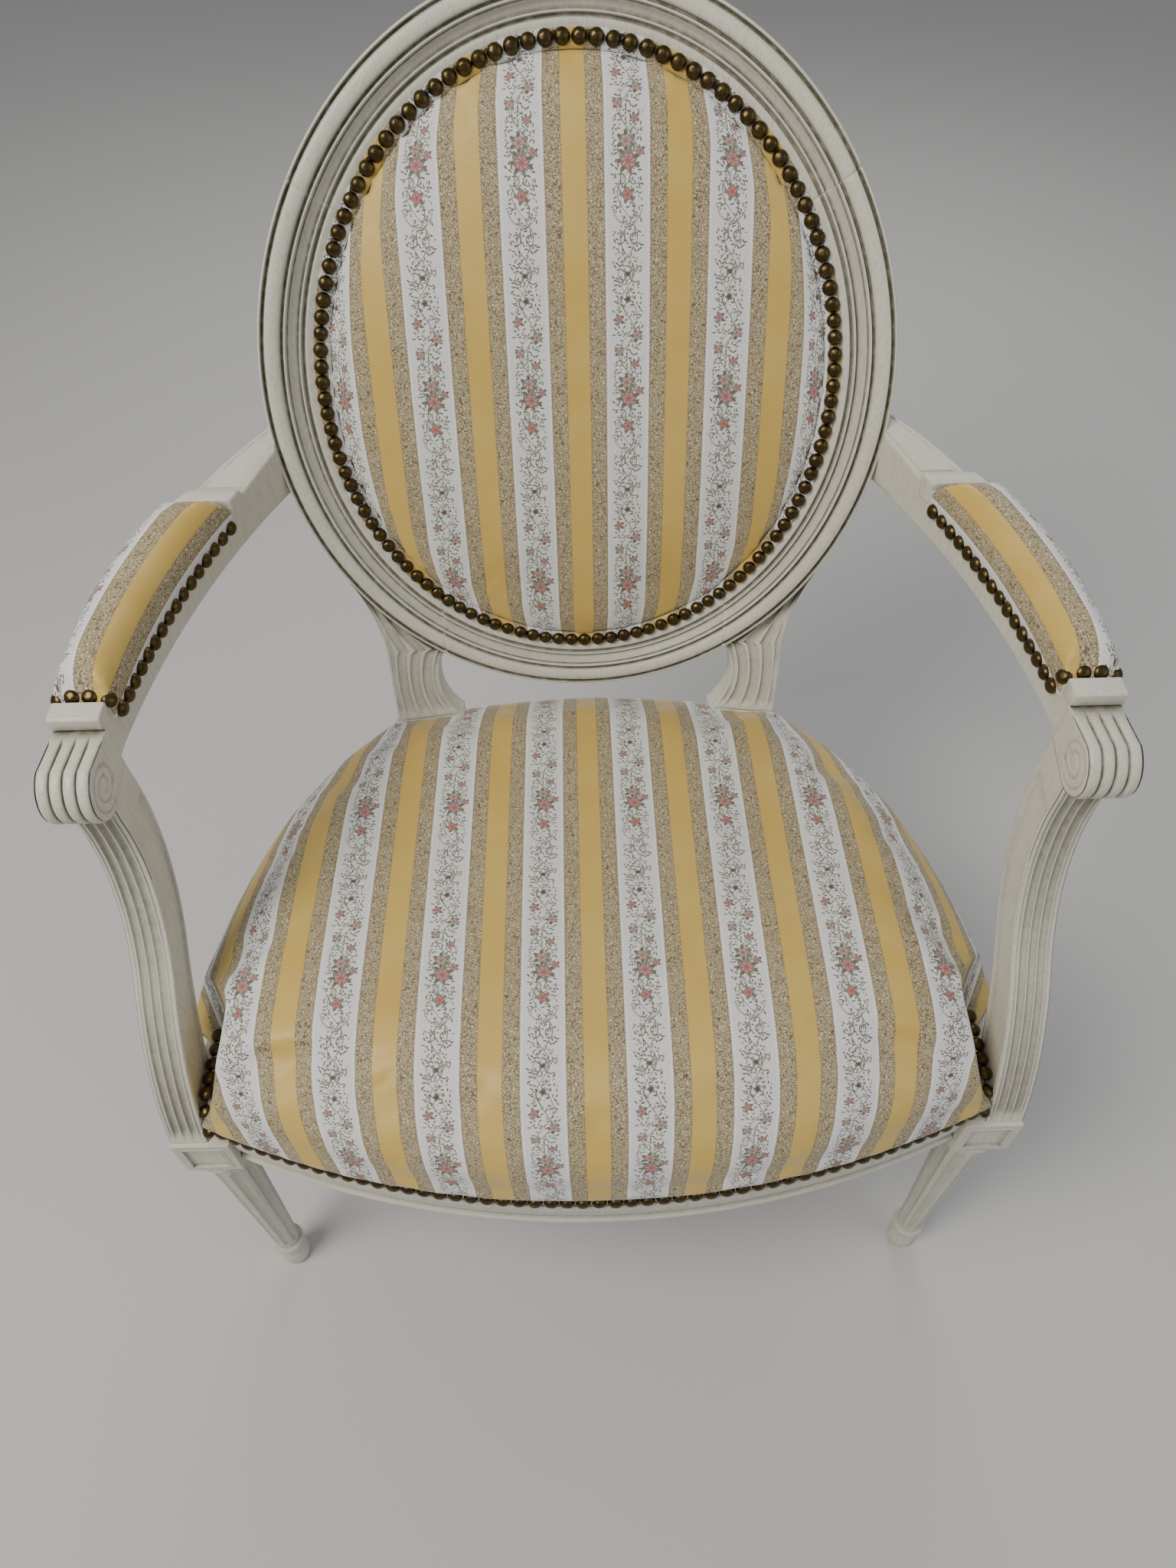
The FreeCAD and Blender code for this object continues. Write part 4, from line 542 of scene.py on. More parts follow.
class Stock:
    """Points and faces of a piece while it is shaped, in millimetres."""

    def __init__(self):
        self.points = []
        self.faces = []

    def loft(self, rings, ends=True):
        """Closed rings of equal count, joined one to the next, with capped ends."""
        start = len(self.points)
        count = len(rings[0])
        for ring in rings:
            self.points.extend(ring)
        for row in range(len(rings) - 1):
            for step in range(count):
                after = (step + 1) % count
                low = start + row * count
                self.faces.append((low + step, low + after,
                                   low + count + after, low + count + step))
        if ends:
            last = start + (len(rings) - 1) * count
            self.faces.append(tuple(range(start, start + count)))
            self.faces.append(tuple(range(last, last + count)))

    def block(self, low, high, insets=()):
        """A block whose front (-Y) and outer (+X) faces carry stepped, inset panels."""
        work = bmesh.new()
        bmesh.ops.create_cube(work, size=1)
        size = Vector(high) - Vector(low)
        middle = (Vector(high) + Vector(low)) / 2
        for vert in work.verts:
            vert.co = Vector([c * s for c, s in zip(vert.co, size)]) + middle
        work.normal_update()
        fronts = [f for f in work.faces if f.normal.y < -0.9 or f.normal.x > 0.9]
        for thickness, depth in insets:
            bmesh.ops.inset_individual(work, faces=fronts, thickness=thickness, depth=depth,
                                       use_even_offset=True)
        self.add(work)

    def add(self, work):
        start = len(self.points)
        work.verts.index_update()
        self.points.extend([tuple(v.co) for v in work.verts])
        self.faces.extend([tuple(start + v.index for v in f.verts) for f in work.faces])
        work.free()

    def mirror(self):
        twin = Stock()
        twin.points = [(-x, y, z) for x, y, z in self.points]
        twin.faces = [face[::-1] for face in self.faces]
        return twin

    def piece(self, name, sharp_angle=38.0):
        return new_piece(name, self.points, self.faces, sharp_angle)


def circle_of(a, m, b):
    """Centre and radius of the circle through three points of a plane, as complex numbers."""
    w = (b - a) / (m - a)
    centre = (a - m) * (w - abs(w) ** 2) / (2j * w.imag) - a
    return -centre, abs(a + centre)


def arc(a, m, b, count):
    """Points from a through m to b, as complex numbers."""
    centre, _ = circle_of(a, m, b)
    first = a - centre
    turn_m = np.angle((m - centre) / first) % (2 * math.pi)
    turn_b = np.angle((b - centre) / first) % (2 * math.pi)
    if turn_m > turn_b:
        turn_b -= 2 * math.pi
    return [centre + first * np.exp(1j * turn_b * k / (count - 1)) for k in range(count)]


def bumps(values, middles, half, depth):
    """Depth of round grooves with given middles and half width."""
    values = np.asarray(values, float)
    total = np.zeros_like(values)
    for middle in middles:
        near = np.clip(1 - ((values - middle) / half) ** 2, 0, None)
        total += depth * np.sqrt(near)
    return total


# Oval frame of the back, worked flat and then bent and tilted

BACK_TILT = math.radians(18.1)
BACK_FOOT = (364.8, 443.6)
OVAL_WIDE = 185.0
OVAL_HIGH = 213.0
HOLLOW_RADIUS = 650.0
FRAME_DEPTH = 28.0
FRAME_OUTSIDE = 41.0
SEAM_ANGLE = math.radians(36.0)
BOTTOM_SEAM_X = 116.0

# Moulding of the oval as (distance outside the nail line, height above the hollow face)
OVAL_MOULDING = (
    (-11.0, -0.6), (-9.0, 0.0), (4.0, 0.2), (7.0, 0.9), (9.4, 1.4), (10.3, 0.9), (10.9, -0.6),
    (11.7, -0.9), (12.4, -0.2), (12.9, 1.6), (13.5, 2.1), (14.2, 1.9), (14.7, 0.6), (15.3, -0.1),
    (16.0, 0.3), (17.4, 0.8), (18.9, 1.7), (20.2, 3.2), (20.8, 4.2), (21.3, 3.5), (21.8, 3.4),
    (22.2, 4.8), (22.9, 5.7), (23.8, 5.5), (24.3, 4.0), (25.0, 3.1), (25.7, 3.4), (26.2, 5.2),
    (27.2, 6.3), (29.0, 6.9), (31.5, 7.2), (34.0, 6.9), (35.9, 6.0), (36.8, 4.6), (37.3, 3.0),
    (37.9, 2.6), (38.4, 3.4), (38.7, 4.7), (39.4, 5.2), (40.3, 4.8), (40.8, 3.8), (41.0, 2.4),
    (41.0, -8.0), (41.0, -18.0), (40.8, -25.4), (39.4, -27.6), (37.0, -28.0),
    (20.0, -28.0), (0.0, -28.0), (-10.0, -28.0), (-11.5, -26.0), (-11.5, -14.0),
)


def on_back(x, z, height):
    """A point of the back: across, up from the nail line's foot, and off the hollow face."""
    reach = math.sqrt((HOLLOW_RADIUS - height) ** 2 - x * x)
    y = reach - HOLLOW_RADIUS
    cos, sin = math.cos(BACK_TILT), math.sin(BACK_TILT)
    return (x, y * cos + z * sin + BACK_FOOT[0], z * cos - y * sin + BACK_FOOT[1])


def off_back(point):
    """The flat place (x, z, height) of a point, the inverse of on_back."""
    x, y, z = point
    y -= BACK_FOOT[0]
    z -= BACK_FOOT[1]
    cos, sin = math.cos(BACK_TILT), math.sin(BACK_TILT)
    flat_y = y * cos - z * sin
    return x, y * sin + z * cos, HOLLOW_RADIUS - math.hypot(x, flat_y + HOLLOW_RADIUS)


def oval_at(angle, offset):
    """Flat point of the grown ellipse in a direction from its middle."""
    wide, high = OVAL_WIDE + offset, OVAL_HIGH + offset
    reach = 1 / math.hypot(math.cos(angle) / wide, math.sin(angle) / high)
    return reach * math.cos(angle), OVAL_HIGH + reach * math.sin(angle)


def low_seam_angle(offset):
    """Direction in which the grown ellipse passes the upright seam of the bottom rail."""
    wide, high = OVAL_WIDE + offset, OVAL_HIGH + offset
    rise = high * math.sqrt(1 - (BOTTOM_SEAM_X / wide) ** 2)
    return math.atan2(-rise, BOTTOM_SEAM_X)


def oval_rings(start, end, steps):
    """Rings of the moulding between two directions, each a function of the offset."""
    rings = []
    shares = [0.0, 0.002] + [k / steps for k in range(1, steps)] + [0.998, 1.0]
    for share in shares:
        sunk = 0.5 if share in (0.0, 1.0) else 0.0
        ring = []
        for offset, height in OVAL_MOULDING:
            angle = start(offset) + (end(offset) - start(offset)) * share
            x, z = oval_at(angle, offset - (sunk if offset > 0 else -sunk))
            ring.append(on_back(x, z, height - (sunk if height > -14 else -sunk)))
        rings.append(ring)
    return rings


def make_back_rails():
    top = Stock()
    top.loft(oval_rings(lambda o: SEAM_ANGLE, lambda o: math.pi - SEAM_ANGLE, 120))
    bottom = Stock()
    bottom.loft(oval_rings(lambda o: -math.pi - low_seam_angle(o), low_seam_angle, 70))
    return top.piece("top_rail_of_oval", 50), bottom.piece("bottom_rail_of_oval", 50)


# Stile between the seat and the oval

STILE_OUTER = ((160.0, -140.0), (165.0, -12.0), (170.0, 25.0), (186.5, 64.0))
STILE_INNER = ((119.0, -100.0), (110.0, -66.0), (125.0, -36.0), (117.0, -2.0))
PLINTH_TOP = -66.0
PLINTH_LOW = -140.0
STILE_TOP = 64.0
STILE_FACE = -2.0
STILE_REEDS = 4


def stile_edges(z):
    """Inner and outer edge of the stile at a height."""
    foot, waist, flare, top = STILE_OUTER
    if z < waist[1]:
        outer = foot[0] + (waist[0] - foot[0]) * (z - foot[1]) / (waist[1] - foot[1])
    else:
        centre, radius = circle_of(complex(*waist), complex(*flare), complex(*top))
        outer = centre.real - math.copysign(1, centre.real - flare[0]) * math.sqrt(
            max(radius ** 2 - (z - centre.imag) ** 2, 0))
    _, plinth, waist_in, top_in = STILE_INNER
    if z <= PLINTH_TOP:
        inner = plinth[0]
    elif z < top_in[1]:
        centre, radius = circle_of(complex(*plinth), complex(*waist_in), complex(*top_in))
        inner = centre.real + math.copysign(1, waist_in[0] - centre.real) * math.sqrt(
            max(radius ** 2 - (z - centre.imag) ** 2, 0))
    else:
        inner = oval_x(z, FRAME_OUTSIDE - 6.0)
    return inner, outer


def oval_x(z, offset):
    share = (OVAL_HIGH - z) / (OVAL_HIGH + offset)
    return (OVAL_WIDE + offset) * math.sqrt(max(1 - share ** 2, 0.0))


def stile_rings():
    """Rings up the stile: reeds fan out with its width above a plain plinth."""
    columns = np.linspace(0, 1, 61)
    grooves = [(k + 1) / STILE_REEDS for k in range(STILE_REEDS - 1)]
    heights = [PLINTH_LOW, PLINTH_TOP - 3.0, PLINTH_TOP - 1.0, PLINTH_TOP, PLINTH_TOP + 0.4]
    heights += list(np.linspace(PLINTH_TOP + 1.5, STILE_TOP, 60))
    rings = []
    for z in heights:
        inner, outer = stile_edges(z)
        plinth = z <= PLINTH_TOP
        wide = outer - inner
        opening = smoothstep((z - PLINTH_TOP - 1.5) / 9.0)
        half = 0.078 * 40.0 / max(wide, 30.0)
        grooved = bumps(columns, grooves, half * 1.25, 2.6) * opening
        edge_bead = bumps(columns, [0.075, 0.925], half * 0.55, 1.3) * opening
        crown = 0.9 * (1 - (2 * columns - 1) ** 2)
        proud = 1.5 if plinth and z < PLINTH_TOP - 0.5 else 0.0
        ring = []
        for share, groove, bead, lift in zip(columns, grooved, edge_bead, crown):
            x = inner - proud + (wide + 2 * proud) * share
            corner = 1.1 * max(0.0, 1 - min(share, 1 - share) * wide / 1.6)
            face = STILE_FACE + proud - corner + (0 if plinth else lift * 0.6 - groove - bead)
            ring.append(on_back(x, z, face))
        ring += [on_back(outer + proud, z, h) for h in (-9.0, -18.0, -26.6)]
        ring += [on_back(outer + proud - 1.3, z, -FRAME_DEPTH)]
        ring += [on_back(inner - proud + 1.3, z, -FRAME_DEPTH)]
        ring += [on_back(inner - proud, z, h) for h in (-26.6, -18.0, -9.0)]
        rings.append(ring)
    return rings


# Turned and fluted legs

BLOCK_LOW = 273.0
BLOCK_HIGH = 318.0
LEG_X = 287.0
BLOCK_HALF = 21.0
PANEL_STEPS = ((5.2, 0.0), (0.6, 0.5), (0.9, 0.0), (0.7, -1.9), (1.2, -0.3))
BACK_LEG = (139.0, 331.0)
BACK_BLOCK_HALF = (21.0, 22.0)
RAKE = math.radians(11.0)
FLUTES = 8
FLUTE_DEPTH = 2.6

# Half section of the leg as (radius, height above the floor), below the ring
FOOT_PROFILE = (
    (0.0, 0.0), (9.5, 0.0), (11.2, 0.9), (12.3, 5.0), (12.5, 11.0), (11.9, 17.0), (10.8, 21.0),
    (10.3, 23.0), (10.3, 35.2), (10.7, 36.6), (12.6, 37.6), (13.8, 39.4), (14.0, 41.0),
    (13.7, 42.8), (12.4, 44.3), (10.9, 45.0), (10.5, 46.2),
)
# From the top of the shaft to the block, as (radius, distance below the block)
RING_PROFILE = (
    (16.8, 17.4), (16.0, 16.0), (15.5, 14.5), (15.4, 11.6), (15.8, 10.4), (19.2, 9.9),
    (20.7, 8.4), (21.4, 6.2), (21.4, 4.4), (20.8, 2.2), (19.2, 0.9), (16.2, 0.2), (15.5, -5.0),
    (0.0, -5.0),
)
SHAFT_FOOT_RADIUS = 10.5
SHAFT_TOP_RADIUS = 17.0
FLUTE_ENDS = 11.0
ROUND_STEPS = 96


def turned_rings(top):
    """Rings of a leg standing on the floor at x = y = 0, up to a height."""
    profile = [(r, z) for r, z in FOOT_PROFILE]
    shaft_low, shaft_high = FOOT_PROFILE[-1][1], top - RING_PROFILE[0][1]
    for share in np.linspace(0.01, 0.99, 90):
        radius = SHAFT_FOOT_RADIUS + (SHAFT_TOP_RADIUS - SHAFT_FOOT_RADIUS) * share
        profile.append((radius, shaft_low + (shaft_high - shaft_low) * share))
    profile += [(r, top - below) for r, below in RING_PROFILE]
    rings = []
    for radius, z in profile:
        low, high = shaft_low + FLUTE_ENDS, shaft_high - FLUTE_ENDS
        on_shaft = shaft_low < z < shaft_high
        width = radius * 0.23
        end = min(z - low, high - z)
        if end < 0 and on_shaft:
            width = width * math.sqrt(max(1 - (end / (radius * 0.28)) ** 2, 0.0))
        ring = []
        for step in range(ROUND_STEPS):
            angle = 2 * math.pi * step / ROUND_STEPS
            here = radius
            if on_shaft and width > 0:
                lobe = (angle * FLUTES / (2 * math.pi)) % 1 - 0.5
                off = lobe * 2 * math.pi / FLUTES * radius
                if abs(off) < width:
                    depth = FLUTE_DEPTH * radius / SHAFT_TOP_RADIUS
                    here -= depth * math.sqrt(1 - (off / width) ** 2)
            ring.append((max(here, 0.02) * math.cos(angle), max(here, 0.02) * math.sin(angle), z))
        rings.append(ring)
    return rings


def make_front_leg():
    leg = Stock()
    rings = turned_rings(BLOCK_LOW)
    leg.loft([[(x + LEG_X, y, z) for x, y, z in ring] for ring in rings])
    leg.block((LEG_X - BLOCK_HALF, -BLOCK_HALF, BLOCK_LOW),
              (LEG_X + BLOCK_HALF, BLOCK_HALF, BLOCK_HIGH), PANEL_STEPS)
    return leg


def make_back_leg():
    """The right-hand back leg with its stile and its part of the oval."""
    leg = Stock()
    slant = BLOCK_LOW / math.cos(RAKE)
    rings = turned_rings(slant)
    cos, sin = math.cos(RAKE), math.sin(RAKE)
    raked = []
    for ring in rings:
        moved = []
        for x, y, z in ring:
            down = z - slant
            moved.append((x + BACK_LEG[0], BACK_LEG[1] + y * cos - down * sin,
                          max(BLOCK_LOW + y * sin + down * cos, 0.0)))
        raked.append(moved)
    leg.loft(raked)
    half_x, half_y = BACK_BLOCK_HALF
    leg.block((BACK_LEG[0] - half_x, BACK_LEG[1] - half_y, BLOCK_LOW),
              (BACK_LEG[0] + half_x, BACK_LEG[1] + half_y, BLOCK_HIGH))
    leg.loft(stile_rings())
    leg.loft(oval_rings(low_seam_angle, lambda o: SEAM_ANGLE, 90))
    return leg


# Rails of the seat, along the curves of the seat plan

FRONT_FACE_Y = -71.0
FRONT_BOW = 680.0
SIDE_START = 299 + 21j
SIDE_END = 160 + 350j
SIDE_HEADINGS = (94.0, 141.0)
REAR_FACE_Y = 366.0
REAR_BOW = 620.0
FRONT_CENTRE = complex(0, FRONT_FACE_Y + FRONT_BOW)
REAR_CENTRE = complex(0, REAR_FACE_Y - REAR_BOW)

# Moulding of the rails as (distance behind the outer face, height)
RAIL_MOULDING = (
    (27.0, 280.0), (4.2, 280.0), (2.6, 280.4), (1.3, 281.6), (0.9, 283.2), (1.1, 284.8),
    (2.1, 286.1), (3.4, 286.8), (4.2, 287.3), (4.0, 288.2), (4.2, 290.0), (4.0, 292.6),
    (3.3, 295.2), (2.2, 297.4), (1.6, 298.4), (1.9, 299.0), (1.5, 299.5), (0.9, 300.1),
    (0.7, 301.4), (1.0, 302.6), (1.9, 303.1), (2.0, 303.8), (0.8, 304.3), (0.2, 305.2),
    (0.0, 308.0), (0.1, 312.0), (0.4, 315.0), (1.2, 316.0), (3.0, 316.4), (3.0, 331.4),
    (3.6, 332.0), (26.4, 332.0), (27.0, 331.4),
)


def side_circles():
    """Centre and radius of the two tangent arcs of a side rail, and where they join."""
    leaving, arriving = (np.exp(1j * math.radians(a)) for a in SIDE_HEADINGS)
    chord = SIDE_END - SIDE_START
    dot = lambda a, b: (a * b.conjugate()).real
    spread = 2 * (1 - dot(leaving, arriving))
    along = dot(chord, leaving + arriving)
    reach = (math.sqrt(along ** 2 + spread * abs(chord) ** 2) - along) / spread
    joint = (SIDE_START + SIDE_END + (leaving - arriving) * reach) / 2
    found = []
    for point, heading in ((SIDE_START, leaving), (SIDE_END, arriving)):
        normal = heading * 1j
        offset = abs(joint - point) ** 2 / (2 * dot(normal, joint - point))
        found.append((point + normal * offset, abs(offset)))
    return found[0], found[1], joint


FORE, AFT, SIDE_JOINT = side_circles()


def sweep_rail(stock, path):
    """path holds (point, outward normal) pairs in plan; the moulding follows it."""
    rings = []
    for point, normal in path:
        ring = []
        for behind, z in RAIL_MOULDING:
            spot = point - normal * behind
            ring.append((spot.real, spot.imag, z))
        rings.append(ring)
    stock.loft(rings)


def along_circle(circle, start, end, count):
    centre, radius = circle
    first, last = start - centre, end - centre
    turn = np.angle(last / first)
    for k in range(count):
        normal = first / abs(first) * np.exp(1j * turn * k / (count - 1))
        yield centre + normal * radius, normal


def make_rails():
    front, back, side = Stock(), Stock(), Stock()
    inner_front = LEG_X - BLOCK_HALF
    left = complex(-inner_front, FRONT_CENTRE.imag - math.sqrt(FRONT_BOW ** 2 - inner_front ** 2))
    sweep_rail(front, along_circle((FRONT_CENTRE, FRONT_BOW), left, -left.conjugate(), 61))
    inner_back = BACK_LEG[0] - BACK_BLOCK_HALF[0]
    right = complex(inner_back, REAR_CENTRE.imag + math.sqrt(REAR_BOW ** 2 - inner_back ** 2))
    sweep_rail(back, along_circle((REAR_CENTRE, REAR_BOW), right, -right.conjugate(), 31))
    path = list(along_circle(FORE, SIDE_START, SIDE_JOINT, 41))
    path += list(along_circle(AFT, SIDE_JOINT, SIDE_END, 31))[1:]
    sweep_rail(side, path)
    return front, back, side


# Arms with their caps and scrolls, and the swept supports

ARM_FRONT_X = 302.0
ARM_HALF = 15.5
ARM_MIDDLE_HALF = 20.0
ARM_BACK_HALF = 10.0
ARM_BOW = 20.0
ARM_CAP = (116.0, 131.0)
ARM_BACK = 225 + 388j
REAR_CAP = (316.0, 329.0)
ARM_TOP_LINE = ((92.0, 617.0), (131.0, 618.0), (316.0, 623.0), (329.0, 623.0), (430.0, 639.0))
ARM_LOW_LINE = ((92.0, 580.0), (123.0, 584.0), (430.0, 589.0))
SCROLL_Y, SCROLL_Z, SCROLL_RADIUS = 90.0, 594.0, 22.0
SCROLL_REEDS = 4
SCROLL_REED_DEPTH = 2.5
SCROLL_NECK_Z = 612.5
SCROLL_FACE_STEPS = 31
# Spiral of the scroll's side: start, fall in each turn, innermost line, line width and depth
SPIRAL = (17.6, 6.6, 3.0, 0.75, 0.95)
SUPPORT_FRONT = ((-18, 318), (7, 382), (42, 430), (77, 484), (88, 560))
SUPPORT_REAR = ((20, 318), (50, 382), (86, 433), (115, 489), (123, 570))
SUPPORT_FOOT_X = (281.0, 308.0)
SUPPORT_HEAD_X = (288.0, 316.0)


def on_line(line, y):
    return float(np.interp(y, [p[0] for p in line], [p[1] for p in line]))


def arm_circle(front_half, middle_half, back_half):
    front = complex(ARM_FRONT_X, ARM_CAP[1])
    chord = (ARM_BACK - front) / abs(ARM_BACK - front)
    outward = -1j * chord
    middle = (front + ARM_BACK) / 2 + outward * (ARM_BOW + middle_half)
    return circle_of(front + front_half, middle, ARM_BACK + outward * back_half)


ARM_OUTER = arm_circle(ARM_HALF, ARM_MIDDLE_HALF, ARM_BACK_HALF)
ARM_INNER = arm_circle(-ARM_HALF, -ARM_MIDDLE_HALF, -ARM_BACK_HALF)


def arm_x(circle, half, y):
    if y <= ARM_CAP[1]:
        return ARM_FRONT_X + half
    centre, radius = circle
    return centre.real + math.sqrt(radius ** 2 - (y - centre.imag) ** 2)


def arm_ring(y, grow=0.0, lift=0.0):
    """A section of the arm across y: rounded edges, and panel lines behind the rear cap."""
    inner = arm_x(ARM_INNER, -ARM_HALF, y) - grow
    outer = arm_x(ARM_OUTER, ARM_HALF, y) + grow
    top, low = on_line(ARM_TOP_LINE, y) + lift, on_line(ARM_LOW_LINE, y)
    wide = outer - inner
    ring = []
    panel = smoothstep((y - 336.0) / 1.2)
    cross = math.exp(-((y - 337.5) / 0.8) ** 2)
    for share in np.linspace(0, 1, 41):
        across = wide * share
        edge = min(across, wide - across)
        line = math.exp(-((edge - 4.6) / 0.7) ** 2) * panel
        if edge > 4.6:
            line = max(line, cross)
        corner = 1.8 * max(0.0, 1 - edge / 1.8) ** 2
        ring.append((inner + across, y, top - corner - 0.9 * line - 0.5 * panel * (edge > 5.2)))
    for share in np.linspace(0.06, 0.94, 12):
        ring.append((outer, y, top + (low - top) * share))
    ring += [(outer - 2.0, y, low), (inner + 2.0, y, low)]
    for share in np.linspace(0.94, 0.06, 12):
        ring.append((inner, y, top + (low - top) * share))
    return ring


def cut_by_oval(rings):
    """Stops each line of the arm where it meets the outer edge of the oval."""
    held = [None] * len(rings[0])
    cut = []
    for ring in rings:
        moved = []
        for index, point in enumerate(ring):
            x, z, _ = off_back(point)
            inside = math.hypot(x / (OVAL_WIDE + FRAME_OUTSIDE - 1.5),
                                (z - OVAL_HIGH) / (OVAL_HIGH + FRAME_OUTSIDE - 1.5)) < 1
            if inside and held[index] is None:
                held[index] = point
            moved.append(held[index] or point)
        cut.append(moved)
    return cut


def scroll_rings():
    """The reeded scroll, as outlines from its inner side face to its outer one."""
    first, last = math.radians(105.0), math.radians(270.0)
    outline = []
    turns = np.linspace(first, last, 56)
    start_y = SCROLL_Y + SCROLL_RADIUS * math.cos(first)
    start_z = SCROLL_Z + SCROLL_RADIUS * math.sin(first)
    for share in np.linspace(0, 1, 12)[:-1]:
        y = ARM_CAP[0] + 4.0 + (start_y - ARM_CAP[0] - 4.0) * share
        z = SCROLL_NECK_Z + (start_z - SCROLL_NECK_Z) * share
        outline.append((y, z, 0.0, 1.0, y))
    for turn in turns:
        cos, sin = math.cos(turn), math.sin(turn)
        outline.append((SCROLL_Y + SCROLL_RADIUS * cos, SCROLL_Z + SCROLL_RADIUS * sin, cos, sin,
                        None))
    for y in (98.0, 106.0, 114.0, 120.0):
        outline.append((y, 572.0 + (y - 90.0) * 0.3, 0.0, -1.0, None))
    outline += [(120.0, z, 1.0, 0.0, None) for z in (588.0, 600.0)]
    half = ARM_HALF
    columns = np.linspace(-half, half, 57)
    pitch = 2 * half / SCROLL_REEDS
    rings = []

    def deep(x, y):
        local = abs((x + half) / pitch % 1 - 0.5) * 2
        cut = SCROLL_REED_DEPTH * (1 - math.sqrt(max(1 - local ** 2.6, 0.0)))
        return cut if y is None else cut * float(smoothstep((ARM_CAP[0] - 2.0 - y) / 9.0))

    carved = []
    spiral, fall, innermost, thick, depth = SPIRAL
    for step in range(SCROLL_FACE_STEPS):
        scale = 1 - step / SCROLL_FACE_STEPS
        ring = []
        for y, z, out_y, out_z, before in outline:
            sunk = deep(-half, before) if step == 0 else 0.6
            dy, dz = (y - out_y * sunk - SCROLL_Y) * scale, (z - out_z * sunk - SCROLL_Z) * scale
            reach, angle = math.hypot(dy, dz), math.atan2(dz, -dy)
            turn = ((angle + 2.2) % (2 * math.pi)) / (2 * math.pi)
            groove = 0.0
            for winding in (0, 1, 2):
                line = spiral - fall * (turn + winding)
                if line > innermost:
                    groove = max(groove, math.exp(-((reach - line) / thick) ** 2))
            ring.append((0.4 - depth * groove if step else 0.0, SCROLL_Y + dy, SCROLL_Z + dz))
        carved.append(ring)
    left = [[(ARM_FRONT_X - half - lift, y, z) for lift, y, z in ring] for ring in carved[::-1]]
    right = [[(ARM_FRONT_X + half + lift, y, z) for lift, y, z in ring] for ring in carved]
    rings = left
    for x in columns[1:-1]:
        ring = []
        for y, z, out_y, out_z, before in outline:
            sunk = deep(x, before)
            ring.append((ARM_FRONT_X + x, y - out_y * sunk, z - out_z * sunk))
        rings.append(ring)
    return rings + right


def cap_block(low_y, high_y, low_z, high_z, half, centre_x, chamfer):
    """A small cap across the arm, bevelled all round, with its lower front edge cut back."""
    outline = [(low_y + chamfer, low_z), (low_y, low_z + chamfer), (low_y, high_z - 1.2),
               (low_y + 1.2, high_z), (high_y - 1.2, high_z), (high_y, high_z - 1.2),
               (high_y, low_z)]
    middle_y, middle_z = (low_y + high_y) / 2, (low_z + high_z) / 2
    rings = []
    for x, shrink in ((-half, 0.9), (-half + 0.3, 0.96), (-half + 1.1, 1.0), (half - 1.1, 1.0),
                      (half - 0.3, 0.96), (half, 0.9)):
        rings.append([(centre_x + x, middle_y + (y - middle_y) * shrink,
                       middle_z + (z - middle_z) * shrink) for y, z in outline])
    return rings


def make_arm():
    arm = Stock()
    stations = list(np.arange(118.0, 332.0, 3.0)) + list(np.arange(332.0, 344.0, 0.6))
    stations += list(np.arange(344.0, 424.0, 1.2))
    arm.loft(cut_by_oval([arm_ring(y) for y in stations]))
    arm.loft(scroll_rings())
    arm.loft(cap_block(*ARM_CAP, 611.0, 624.0, ARM_HALF + 0.3, ARM_FRONT_X, 4.0))
    rear = [arm_ring(y, g, l) for y, g, l in (
        (REAR_CAP[0], -0.8, 4.4), (REAR_CAP[0] + 0.5, 0.3, 5.5), (REAR_CAP[0] + 1.5, 0.8, 6.0),
        (REAR_CAP[1] - 1.5, 0.8, 6.0), (REAR_CAP[1] - 0.5, 0.3, 5.5), (REAR_CAP[1], -0.8, 4.4))]
    arm.loft([[(x, y, max(z, 612.0)) for x, y, z in ring] for ring in rear])
    return arm


def support_line(points, count=34):
    a, m1, b, m2, c = (complex(*p) for p in points)
    return arc(a, m1, b, count) + arc(b, m2, c, count)[1:]


